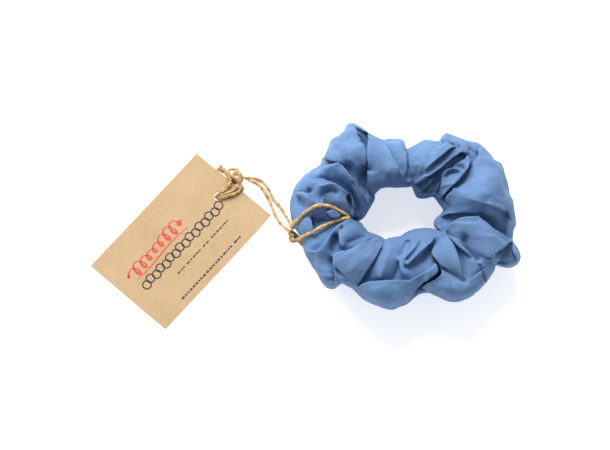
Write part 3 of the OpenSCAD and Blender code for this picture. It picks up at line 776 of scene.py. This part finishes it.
def around_back(az0, az1, off, phi0=163, phi1=338, n=26):
    """Points round the hidden side of the tube, from the opening to the outside, drawn taut over the pleats. In the opening the
    cord lies under the pleat that laps over it there, and it comes out below."""
    c_, d_, r_, o_ = [], [], [], []
    nu = P.shape[0]
    for k in range(n + 1):
        f = k / n
        a = math.radians(az0 + (az1 - az0) * f)
        i = int(round(a / (2 * math.pi) * nu)) % nu
        c = P[i].mean(0)
        rad = np.array([c[0] - C0[0], c[1] - C0[1], 0.0])
        rad /= np.linalg.norm(rad)
        ph_ = math.radians(phi0 + (phi1 - phi0) * f)
        d = math.cos(ph_) * rad + math.sin(ph_) * np.array([0, 0, 1.0])
        hit, _, _, dist = tree.ray_cast(Vector(c + 25 * d), Vector(-d))
        c_.append(c)
        d_.append(d)
        r_.append(25 - dist if hit is not None and dist < 24 else 14.0)
        e = min(max((math.degrees(ph_) - 226) / 26, 0), 1)
        o_.append(-TUCK + (off + TUCK) * e * e * (3 - 2 * e))
    r_ = np.array(r_)
    g = r_.copy()
    w = math.cos(math.radians((phi1 - phi0) / n))
    for _ in range(200):
        g[1:-1] = np.maximum(r_[1:-1], w * 2 / (1 / g[:-2] + 1 / g[2:]))
    return [c + d * (r + o) for c, d, r, o in zip(c_, d_, 0.5 * g + 0.5 * r_, o_)]


def tucked(q):
    """Is this place in the opening, under the lapped pleat?"""
    i = int(round(math.radians(186) / (2 * math.pi) * P.shape[0]))
    c = P[i].mean(0)
    rad = np.array([c[0] - C0[0], c[1] - C0[1], 0.0])
    rad /= np.linalg.norm(rad)
    ph_ = math.degrees(math.atan2(q[2] - c[2], (q - c) @ rad)) % 360
    return q[0] > -52 and 100 < ph_ < 255 and (q @ EX > -29.9 or ph_ > 180)


TUCK = 3.8
OFF = 0.95
A_TOP = [(-57.6, 2.4), (-54.0, 6.0), (-50.6, 8.6), (-46.8, 10.5), (-42.9, 10.7), (-39.1, 9.8), (-35.2, 7.8), (-32.2, 6.3), (-29.8, 4.7)]
B_TOP = [(-54.4, -6.0), (-51.4, -4.5), (-47.6, -2.5), (-43.6, -0.6), (-39.8, 1.3), (-35.2, 2.9), (-32.1, 3.6), (-29.8, 3.7)]


def taut(line):
    """A cord drawn over the cloth along a line of the picture: it rests on the high places and spans the hollows."""
    q = spline([(x, y, 0.0) for x, y in line], 6)
    q = resample(q, 0.8)[0]
    h = []
    for x, y, _ in q:
        m = max((on_cloth(x + ox, y + oy, 0.0) @ EC for ox, oy in ((0, 0), (0.6, 0), (-0.6, 0), (0, 0.6), (0, -0.6)) if on_cloth(x + ox, y + oy, 0.0) is not None), default=None)
        h.append(m)
    ok = [k for k, m in enumerate(h) if m is not None]
    h = np.interp(np.arange(len(h)), ok, [h[k] for k in ok]) + OFF * 0.85
    g = h.copy()
    for _ in range(90):
        g[1:-1] = np.maximum(h[1:-1], 0.5 * (g[:-2] + g[2:]))
    g = 0.75 * g + 0.25 * h
    g = np.maximum(g, h)
    for _ in range(3):
        g[1:-1] = 0.25 * g[:-2] + 0.5 * g[1:-1] + 0.25 * g[2:]
    return [x * EX + y * EU + v * EC for (x, y, _), v in zip(q, g)]


wrap_a = taut(A_TOP)
wrap_b = taut(B_TOP)
back_a = around_back(196.5, 189.0, OFF)
back_b = around_back(199.0, 192.0, OFF)


def dive(q):
    """Where the cord drops into the cleft between two pleats."""
    o = on_cloth(q @ EX + 0.3, q @ EU - 0.2, 0.0)
    o = o - 2.8 * EC
    return [0.5 * (q + o), o]


PIVOT = np.array([-85.6, 26.6, 2.8])
UAX = np.array([-0.75, 0.6613, 0.0])
end_a = PIVOT - 0.95 * UAX
end_b = PIVOT + 0.95 * UAX


def vp(px_x, px_y, z):
    """A point seen at view-plane x, y, at height z above the floor."""
    y = (px_y - z * math.cos(EL)) / math.sin(EL)
    return np.array([px_x, y, z])


strand_a = [vp(-59.8, -2.6, 10.6), vp(-60.6, -0.6, 9.8), vp(-61.6, 1.8, 8.6), vp(-64.0, 6.0, 6.4), vp(-67.4, 11.0, 4.2), vp(-70.0, 13.6, 2.8), vp(-72.0, 18.0, 1.6),
            vp(-74.6, 22.1, 1.1), vp(-78.2, 24.7, 1.2), vp(-82.0, 25.6, 2.0)]
strand_b = [vp(-61.2, -3.6, 9.6), vp(-63.4, -1.7, 7.6), vp(-66.7, 1.3, 5.4), vp(-69.0, 5.4, 3.6), vp(-70.9, 9.4, 2.2), vp(-72.3, 12.9, 1.2),
            vp(-74.1, 16.7, 1.0), vp(-76.5, 20.3, 1.0), vp(-79.6, 22.9, 1.1), vp(-83.1, 24.3, 2.0)]
# the two halves, from the knot to the middle of the bight under the ring's edge
half_a = [end_a] + strand_a[::-1] + [vp(-58.9, -0.6, 12.2)] + wrap_a + dive(wrap_a[-1]) + back_a
half_b = [end_b] + strand_b[::-1] + [vp(-60.9, -5.8, 9.8), vp(-61.2, -7.9, 10.8), vp(-59.9, -8.6, 12.2), vp(-57.6, -7.8, 14.0)] + wrap_b + dive(wrap_b[-1]) + back_b
whole = half_a + [vp(-55.0, -8.8, 5.6), vp(-57.0, -6.0, 7.2), vp(-59.6, -3.9, 9.0), vp(-61.4, -2.6, 10.8), vp(-62.3, -3.7, 11.2), vp(-61.4, -5.1, 10.8),
                  vp(-59.0, -6.4, 8.6), vp(-56.4, -8.6, 6.2)] + half_b[::-1]
path = resample(soften(resample(spline(whole, 8), 0.5)[0], 4), 0.5)[0]
for _ in range(4):
    for k_ in range(len(path)):
        if path[k_, 0] < -70 or tucked(path[k_]):
            continue
        near, nn, _, dist_ = tree.find_nearest(Vector(path[k_]))
        nn, near = np.array(nn), np.array(near)
        d_ = (path[k_] - near) @ nn
        if dist_ > 6 and d_ < 0:
            continue
        if d_ < OFF * 0.9:
            path[k_] += nn * (OFF * 0.9 - d_)
    path = soften(path, 2)
# no kinks: where the cord turns tighter than twine can, the turn is opened out
for _ in range(60):
    a_, b_, c_ = path[:-6], path[3:-3], path[6:]
    la, lb, lc = (np.linalg.norm(v, axis=1) for v in (b_ - a_, c_ - b_, c_ - a_))
    ar = 0.5 * np.linalg.norm(np.cross(b_ - a_, c_ - a_), axis=1)
    w_ = np.clip((2.6 - la * lb * lc / np.maximum(4 * ar, 1e-9)) / 2.6, 0, 1)[:, None]
    w_[b_[:, 0] < -56.0] = 0
    path[3:-3] += 0.12 * w_ * (0.5 * (a_ + c_) - b_)
path[:, 2] = np.maximum(path[:, 2], 1.06)
path, twine_len = resample(path, 0.5)
print("twine between the knot's sides", round(twine_len, 1), "mm")
V, F, U = twisted(path, TWINE_D, seed=3)
twine = mesh_of("jute_twine", V, F, U)
V, F = hairs(path, TWINE_D, 900, 21)
twine_fuzz = mesh_of("jute_twine_fibres", V, F)

# the closing seam: a lapped edge with its topstitching, a short bar of overstitching, and the tube's own seam where it shows
SEAM = [(38.6, -20.9), (42.8, -17.2), (47.3, -14.2), (51.8, -11.0), (55.6, -8.5)]
BAR = [(39.6, -21.6), (40.6, -25.0), (41.8, -29.0)]
TUBE_SEAM = [(15.4, -18.6), (19.2, -22.0), (24.0, -25.8), (28.6, -27.3)]
parts = stitches(SEAM, 1.5, 0.7, 0.38, 0.16) + stitches(BAR, 0.9, 0.02, 1.5, 0.42) + stitches(TUBE_SEAM, 1.5, 0.8, 0.3, 0.05)
V, F, _ = join_vf(parts)
seam = mesh_of("closing_seam_stitches", V, F)
m_thread, nt, bs = new_mat("sewing_thread")
N, L = nt.nodes, nt.links
tc = N.new("ShaderNodeTexCoord")
n1 = N.new("ShaderNodeTexWave")
n1.inputs["Scale"].default_value = 900.0
n1.inputs["Distortion"].default_value = 1.0
L.new(tc.outputs["Object"], n1.inputs["Vector"])
cr = N.new("ShaderNodeValToRGB")
cr.color_ramp.elements[0].color = srgb(34, 52, 86)
cr.color_ramp.elements[1].color = srgb(52, 76, 116)
L.new(n1.outputs["Fac"], cr.inputs["Fac"])
L.new(cr.outputs["Color"], bs.inputs["Base Color"])
bs.inputs["Roughness"].default_value = 0.5
bs.inputs["Sheen Weight"].default_value = 0.2
bp = N.new("ShaderNodeBump")
bp.inputs["Strength"].default_value = 0.4
bp.inputs["Distance"].default_value = 0.00005
L.new(n1.outputs["Fac"], bp.inputs["Height"])
L.new(bp.outputs["Normal"], bs.inputs["Normal"])
seam.data.materials.append(m_thread)
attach(seam, "ring")
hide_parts("closing_seam_thread")

# the knot, the doubled loop through the hole and the two cut ends; the card's frame, which the card below is built in,
# is set up here too
HOLE = np.array([-100.05, 15.85, 2.1])
TA = math.radians(-131.4)
TILT = math.radians(1.5)
TX = np.array([math.cos(TA) * math.cos(TILT), math.sin(TA) * math.cos(TILT), -math.sin(TILT)])
TY = np.array([-math.sin(TA), math.cos(TA), 0.0])
TZ = np.cross(TX, TY)


def tag_pt(x, y, z):
    return HOLE + x * TX + y * TY + z * TZ


def to_tag(q):
    q = np.asarray(q) - HOLE
    return np.array([q @ TX, q @ TY, q @ TZ])




def ph(zx, zy, z):
    """A point of the knot, by where it is seen in the picture (nine times enlarged) and its height."""
    return vp((180 + zx / 9 - 404) / 1.86, (225.3 - (145 + zy / 9)) / 1.86, z)


run_a = [end_a, ph(556, 282, 3.3), ph(520, 262, 4.4), ph(484, 262, 4.6), ph(462, 290, 3.2), ph(474, 326, 1.5), ph(512, 338, 1.0), ph(545, 312, 1.9), ph(548, 268, 3.6),
         ph(516, 226, 4.0), ph(466, 214, 3.6), ph(430, 236, 3.6), ph(438, 290, 4.6), ph(452, 336, 4.5), ph(424, 384, 4.1), ph(384, 416, 3.8), ph(346, 446, 3.6),
         ph(326, 462, 2.9), ph(322, 470, 2.0), ph(336, 464, 1.1), ph(390, 424, 0.95), ph(450, 376, 0.95), ph(494, 336, 0.95), ph(478, 286, 1.1), ph(430, 256, 1.3),
         ph(396, 236, 1.6), ph(362, 222, 1.7)]
run_b = [end_b, ph(548, 316, 2.0), ph(510, 318, 3.2), ph(482, 290, 4.4), ph(486, 248, 4.8), ph(520, 240, 4.4), ph(540, 276, 4.8), ph(536, 330, 4.6), ph(546, 384, 4.2),
         ph(520, 424, 4.1), ph(460, 450, 4.0), ph(400, 466, 3.9), ph(362, 474, 3.6), ph(344, 478, 2.6), ph(346, 474, 1.4), ph(380, 462, 0.95), ph(450, 448, 0.95),
         ph(520, 436, 1.0), ph(560, 404, 1.9), ph(556, 372, 3.7), ph(516, 378, 4.3), ph(470, 410, 4.2), ph(420, 436, 4.0), ph(374, 454, 3.8), ph(342, 466, 3.2),
         ph(334, 470, 2.0), ph(344, 462, 1.2), ph(400, 400, 0.95), ph(440, 340, 0.95), ph(440, 296, 1.1), ph(420, 266, 1.9), ph(394, 222, 2.9), ph(372, 204, 2.4)]
run_c = [ph(470, 352, 1.2), ph(444, 318, 2.6), ph(452, 272, 4.9), ph(500, 300, 5.4), ph(532, 352, 4.6), ph(528, 396, 3.0), ph(500, 420, 1.2)]
parts, hp = [], []
for k, run in enumerate((run_a, run_b, run_c)):
    q = spline(run, 8)
    q[:, 2] = np.maximum(q[:, 2], 1.06)
    q = resample(soften(resample(q, 0.4)[0], 3), 0.4)[0]
    parts.append(twisted(q, TWINE_D, seed=31 + k, phase=1.3 * k, unlay=0.9 if k < 2 else 0))
    hp.append(hairs(q, TWINE_D, 260 if k < 2 else 60, 41 + k, 1.9))
    if k < 2:
        hp.append(brush(q[-1], q[-1] - q[-6], TWINE_D, 70, 61 + k, 3.4))
V, F, U = join_vf(parts)
knot = mesh_of("jute_knot_and_loop", V, F, U)
V, F, _ = join_vf(hp)
knot_fuzz = mesh_of("jute_knot_fibres", V, F)

m_jute, nt, bs = new_mat("jute_fibre")
N, L = nt.nodes, nt.links
tc = N.new("ShaderNodeTexCoord")
mp = N.new("ShaderNodeMapping")
mp.inputs["Scale"].default_value = (60.0, 9.0, 1.0)
L.new(tc.outputs["UV"], mp.inputs["Vector"])
n1 = N.new("ShaderNodeTexNoise")
n1.inputs["Scale"].default_value = 1.0
n1.inputs["Detail"].default_value = 6.0
n1.inputs["Roughness"].default_value = 0.7
L.new(mp.outputs["Vector"], n1.inputs["Vector"])
n2 = N.new("ShaderNodeTexNoise")
n2.inputs["Scale"].default_value = 420.0
n2.inputs["Detail"].default_value = 3.0
L.new(tc.outputs["Object"], n2.inputs["Vector"])
mx = N.new("ShaderNodeMath")
mx.operation = "ADD"
L.new(n1.outputs["Fac"], mx.inputs[0])
L.new(n2.outputs["Fac"], mx.inputs[1])
hf = N.new("ShaderNodeMath")
hf.operation = "MULTIPLY"
hf.inputs[1].default_value = 0.5
L.new(mx.outputs[0], hf.inputs[0])
cr = N.new("ShaderNodeValToRGB")
cr.color_ramp.elements[0].position = 0.34
cr.color_ramp.elements[0].color = srgb(104, 74, 42)
cr.color_ramp.elements[1].position = 0.66
cr.color_ramp.elements[1].color = srgb(242, 216, 174)
e = cr.color_ramp.elements.new(0.5)
e.color = srgb(194, 157, 106)
L.new(hf.outputs[0], cr.inputs["Fac"])
L.new(cr.outputs["Color"], bs.inputs["Base Color"])
bs.inputs["Roughness"].default_value = 0.75
bs.inputs["Specular IOR Level"].default_value = 0.25
bs.inputs["Sheen Weight"].default_value = 0.15
bp = N.new("ShaderNodeBump")
bp.inputs["Strength"].default_value = 0.6
bp.inputs["Distance"].default_value = 0.0002
L.new(n1.outputs["Fac"], bp.inputs["Height"])
L.new(bp.outputs["Normal"], bs.inputs["Normal"])
for o in (twine, twine_fuzz, knot, knot_fuzz):
    o.data.materials.append(m_jute)
for o in (twine, twine_fuzz):
    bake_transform(o)
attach(knot, "knot")
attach(knot_fuzz, "knot")
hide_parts("twine_hitch", "twine_strand_a", "twine_strand_b")
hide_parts("twine_knot", "tag_loop", "twine_tails")

# ------------------------------------------------------------------ the hang tag
TX0, TX1, TY0, TY1, TT = -10.7, 74.3, -25.1, 28.9, 0.5


def bow(x, y):
    """The card is not quite flat: it lifts a little towards the far end's corners and dips across the middle."""
    return 0.28 * ((x - 30) / 44) ** 2 * (0.6 + 0.4 * np.sin(y * 0.07)) + 0.10 * np.sin(x * 0.055 + y * 0.09)


def card_pt(x, y, z):
    x, y, z = np.broadcast_arrays(np.asarray(x, float), np.asarray(y, float), np.asarray(z, float))
    return HOLE + x[..., None] * TX + y[..., None] * TY + (z + bow(x, y))[..., None] * TZ


def outline_at(a, inset):
    """Distance from the hole's middle to the card's edge in direction a."""
    c, q = np.cos(a), np.sin(a)
    with np.errstate(divide="ignore"):
        rx = np.where(c > 0, (TX1 - inset) / np.where(c > 0, c, 1), (TX0 + inset) / np.where(c < 0, c, -1e-9))
        ry = np.where(q > 0, (TY1 - inset) / np.where(q > 0, q, 1), (TY0 + inset) / np.where(q < 0, q, -1e-9))
    rx = np.where(np.abs(c) < 1e-9, 1e9, rx)
    ry = np.where(np.abs(q) < 1e-9, 1e9, ry)
    return np.minimum(rx, ry)


cang = np.concatenate([np.linspace(0, 2 * math.pi, 300, endpoint=False),
                       [math.atan2(y, x) % (2 * math.pi) for x in (TX0, TX1) for y in (TY0, TY1)]])
cang = np.unique(np.round(cang, 6))
hr = 2.5 + 0.03 * np.sin(5 * cang + 0.7)


def card_ring(r, z):
    x, y = r * np.cos(cang), r * np.sin(cang)
    return card_pt(x, y, z)


rings = []
re_ = outline_at(cang, 0.0)
ri_ = outline_at(cang, 0.10)
fr = np.linspace(0, 1, 56) ** 1.5
top = [card_ring(hr + 0.08, TT)] + [card_ring(hr + 0.2 + (ri_ - hr - 0.2) * f, TT) for f in fr]
rings = top + [card_ring(re_ - 0.03, TT - 0.05), card_ring(re_, TT - 0.12), card_ring(re_, 0.12), card_ring(re_ - 0.03, 0.05)]
rings += [card_ring(hr + 0.2 + (ri_ - hr - 0.2) * f, 0.0) for f in fr[::-1]] + [card_ring(hr + 0.08, 0.0), card_ring(hr, 0.08), card_ring(hr, TT - 0.08)]
G = np.stack(rings, 1)
nu_, nv_ = G.shape[:2]
idx = np.arange(nu_ * nv_).reshape(nu_, nv_)
i1 = np.roll(idx, -1, 0)
f = np.stack([idx, np.roll(idx, -1, 1), np.roll(i1, -1, 1), i1], -1).reshape(-1, 4)
card = mesh_of("kraft_card", G.reshape(-1, 3), f.tolist())
card.data.polygons.foreach_set("use_smooth", [False] * len(card.data.polygons))
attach(card, "tag")
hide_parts("hang_tag")

m_card, nt, bs = new_mat("kraft_card")
N, L = nt.nodes, nt.links
tc = N.new("ShaderNodeTexCoord")
n1 = N.new("ShaderNodeTexNoise")
n1.inputs["Scale"].default_value = 30.0
n1.inputs["Detail"].default_value = 5.0
n1.inputs["Roughness"].default_value = 0.6
L.new(tc.outputs["Object"], n1.inputs["Vector"])
n2 = N.new("ShaderNodeTexNoise")
n2.inputs["Scale"].default_value = 900.0
n2.inputs["Detail"].default_value = 4.0
L.new(tc.outputs["Object"], n2.inputs["Vector"])
mx = N.new("ShaderNodeMix")
mx.data_type = "FLOAT"
mx.inputs["Factor"].default_value = 0.45
L.new(n1.outputs["Fac"], mx.inputs["A"])
L.new(n2.outputs["Fac"], mx.inputs["B"])
cr = N.new("ShaderNodeValToRGB")
cr.color_ramp.elements[0].position = 0.30
cr.color_ramp.elements[0].color = srgb(168, 138, 101)
cr.color_ramp.elements[1].position = 0.70
cr.color_ramp.elements[1].color = srgb(192, 165, 129)
L.new(mx.outputs["Result"], cr.inputs["Fac"])
L.new(cr.outputs["Color"], bs.inputs["Base Color"])
bs.inputs["Roughness"].default_value = 0.8
bs.inputs["Specular IOR Level"].default_value = 0.3
bp = N.new("ShaderNodeBump")
bp.inputs["Strength"].default_value = 0.25
bp.inputs["Distance"].default_value = 0.0001
L.new(n2.outputs["Fac"], bp.inputs["Height"])
L.new(bp.outputs["Normal"], bs.inputs["Normal"])
card.data.materials.append(m_card)


def ink_line(pts, width, closed=False):
    """A stroke of ink on the card: a thin ribbon, a hair proud of the surface."""
    p = np.array(pts, float)
    wd = np.broadcast_to(np.asarray(width, float), (len(p),))
    d = np.gradient(p, axis=0) if not closed else np.roll(p, -1, 0) - np.roll(p, 1, 0)
    d /= np.maximum(np.linalg.norm(d, axis=1), 1e-9)[:, None]
    nn = np.stack([-d[:, 1], d[:, 0]], 1)
    l, r = p + nn * wd[:, None] / 2, p - nn * wd[:, None] / 2
    rows = [card_pt(l[:, 0], l[:, 1], TT - 0.02), card_pt(l[:, 0], l[:, 1], TT + 0.03), card_pt(r[:, 0], r[:, 1], TT + 0.03), card_pt(r[:, 0], r[:, 1], TT - 0.02)]
    V = np.stack(rows, 1).reshape(-1, 3)
    n = len(p)
    F = []
    for i in range(n if closed else n - 1):
        a, b = 4 * i, 4 * ((i + 1) % n)
        for x in range(4):
            F.append([a + x, a + (x + 1) % 4, b + (x + 1) % 4, b + x])
    if not closed:
        F.append([3, 2, 1, 0])
        F.append([4 * (n - 1) + x for x in range(4)])
    return V, F


def ink_ring(cx, cy, rad, width):
    a = np.linspace(0, 2 * math.pi, 40, endpoint=False)
    return ink_line(np.stack([cx + rad * np.cos(a), cy + rad * np.sin(a)], 1), width, True)


def ink_bar(x0, y0, x1, y1, width):
    t = np.linspace(0, 1, 6)[:, None]
    return ink_line(np.array([x0, y0]) * (1 - t) + np.array([x1, y1]) * t, width)


# generic ornament in place of the printed words: a red looped flourish, a dark row of plain rings and bars, two fine dashed lines
t = np.linspace(0, 1, 420)
fx = 65.0 - 42.0 * t + 1.9 * np.sin(2 * math.pi * 8.5 * t)
fy = -5.6 + (2.6 + 0.9 * np.sin(9 * t + 0.6)) * np.cos(2 * math.pi * 8.5 * t) * np.minimum(1, np.minimum(t, 1 - t) * 9) + 0.5 * np.sin(6 * t)
fw = 1.05 + 0.42 * np.sin(2 * math.pi * 8.5 * t + 0.9)
red = [ink_line(np.stack([fx, fy], 1), fw), ink_line(np.stack([64 - 40 * t, -0.9 + 0.5 * np.sin(7 * t)], 1), 0.35 + 0.5 * np.sin(np.pi * t))]
dark = []
r5 = np.random.default_rng(5)
xx = 65.0
for k in range(16):
    dark.append(ink_ring(xx - 2.6, 4.4 + 0.5 * (-1) ** k, 2.3, 0.75))
    xx -= 3.9
for row, (x0, x1, y, hgt) in enumerate(((47.0, 4.0, 13.2, 1.5), (56.0, 7.0, 24.4, 1.9))):
    x = x0
    while x > x1 + 1.5:
        w_ = r5.uniform(0.7, 2.2)
        if row == 1 and x > 44:
            pass
        dark.append(ink_bar(x, y, x - w_, y, hgt * 0.55))
        x -= w_ + r5.uniform(0.45, 0.8) + (1.3 if r5.uniform() < 0.12 else 0)
V, F, _ = join_vf(red)
ink_red = mesh_of("tag_ornament_red", V, F, smooth=False)
V, F, _ = join_vf(dark)
ink_dark = mesh_of("tag_ornament_dark", V, F, smooth=False)
for o, nm, c in ((ink_red, "ink_red", (196, 58, 52)), (ink_dark, "ink_dark", (44, 36, 34))):
    m, nt, bs = new_mat(nm)
    N, L = nt.nodes, nt.links
    tc = N.new("ShaderNodeTexCoord")
    n1 = N.new("ShaderNodeTexNoise")
    n1.inputs["Scale"].default_value = 1400.0
    n1.inputs["Detail"].default_value = 3.0
    L.new(tc.outputs["Object"], n1.inputs["Vector"])
    cr = N.new("ShaderNodeValToRGB")
    cr.color_ramp.elements[0].color = srgb(*[x * 0.86 for x in c])
    cr.color_ramp.elements[1].color = srgb(*[min(255, x * 1.12 + 6) for x in c])
    L.new(n1.outputs["Fac"], cr.inputs["Fac"])
    L.new(cr.outputs["Color"], bs.inputs["Base Color"])
    bs.inputs["Roughness"].default_value = 0.6
    bs.inputs["Specular IOR Level"].default_value = 0.35
    o.data.materials.append(m)
    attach(o, "tag")

# ------------------------------------------------------------------ the cloth gets its thickness
bpy.context.view_layer.objects.active = cover
sol = cover.modifiers.new("thickness", "SOLIDIFY")
sol.thickness = 0.00035
sol.offset = -1.0
sol.use_even_offset = False
nrm_check = cover.data.polygons[NT // 2].normal @ Vector(EC)
if nrm_check < 0:
    sol.offset = 1.0
bpy.ops.object.select_all(action="DESELECT")
cover.select_set(True)
bpy.ops.object.modifier_apply(modifier="thickness")
one_side = sum(q.area for q in cover.data.polygons) / 2
print("cloth, one side", round(one_side * 1e4, 1), "cm2", "offset", 1 if nrm_check < 0 else -1)

# ------------------------------------------------------------------ what the cloth hides: elastic, its bar tack, the tube's seam
m_el = weave_mat("braided_elastic", srgb(206, 206, 200), srgb(236, 236, 230), 0.0009, 0.00012)


def box_uv(ob):
    """UVs in metres for a plain band: round the ring, and across the height."""
    me = ob.data
    uv = me.uv_layers.get("UVMap") or me.uv_layers.new(name="UVMap")
    M_ = ob.matrix_world
    for lp in me.loops:
        v = M_ @ me.vertices[lp.vertex_index].co
        uv.data[lp.index].uv = (math.atan2(v.y, v.x) * 0.032, v.z + math.hypot(v.x, v.y))


m_hidden_thread = m_thread
for nm, mat in (("elastic_band", m_el), ("elastic_bar_tack", m_thread), ("side_seam_thread", m_thread)):
    ob = bpy.data.objects.get(nm)
    if ob is None:
        print("missing", nm)
        continue
    box_uv(ob)
    ob.data.materials.clear()
    ob.data.materials.append(mat)

# ------------------------------------------------------------------ stage, light and camera
fm = bpy.data.meshes.new("floor")
fm.from_pydata([(-3, -3, 0), (3, -3, 0), (3, 3, 0), (-3, 3, 0)], [], [(0, 1, 2, 3)])
floor = bpy.data.objects.new("floor", fm)
bpy.context.scene.collection.objects.link(floor)
m_floor, nt, bs = new_mat("studio_floor")
bs.inputs["Base Color"].default_value = (0.86, 0.86, 0.86, 1)
bs.inputs["Roughness"].default_value = 0.9
bs.inputs["Emission Color"].default_value = (1, 1, 1, 1)
bs.inputs["Emission Strength"].default_value = 0.58
floor.data.materials.append(m_floor)

world = bpy.data.worlds.new("studio")
bpy.context.scene.world = world
world.use_nodes = True
world.node_tree.nodes["Background"].inputs["Color"].default_value = (1, 1, 1, 1)
world.node_tree.nodes["Background"].inputs["Strength"].default_value = 0.50


def area(name, loc, target, size, power):
    L = bpy.data.lights.new(name, "AREA")
    L.shape = "DISK"
    L.size = size
    L.energy = power
    o = bpy.data.objects.new(name, L)
    bpy.context.scene.collection.objects.link(o)
    o.location = loc
    o.rotation_euler = (Vector(target) - Vector(loc)).to_track_quat("-Z", "Y").to_euler()
    return o


area("top", (-0.20, 0.80, 1.05), (0, 0, 0), 0.80, 22.0)
area("key", (-0.70, 0.70, 0.50), (0, 0, 0), 0.35, 5.0)

cam = bpy.data.cameras.new("camera")
cam_ob = bpy.data.objects.new("camera", cam)
bpy.context.scene.collection.objects.link(cam_ob)
target = (-53.2 * EX + 0.16 * EU) * MM
dist = 2.0
cam_ob.location = Vector(target + dist * EC)
cam_ob.rotation_euler = (-Vector(EC)).to_track_quat("-Z", "Y").to_euler()
cam.sensor_width = 36.0
cam.lens = 36.0 * dist / 0.328
bpy.context.scene.camera = cam_ob
bpy.context.scene.view_settings.view_transform = "Standard"
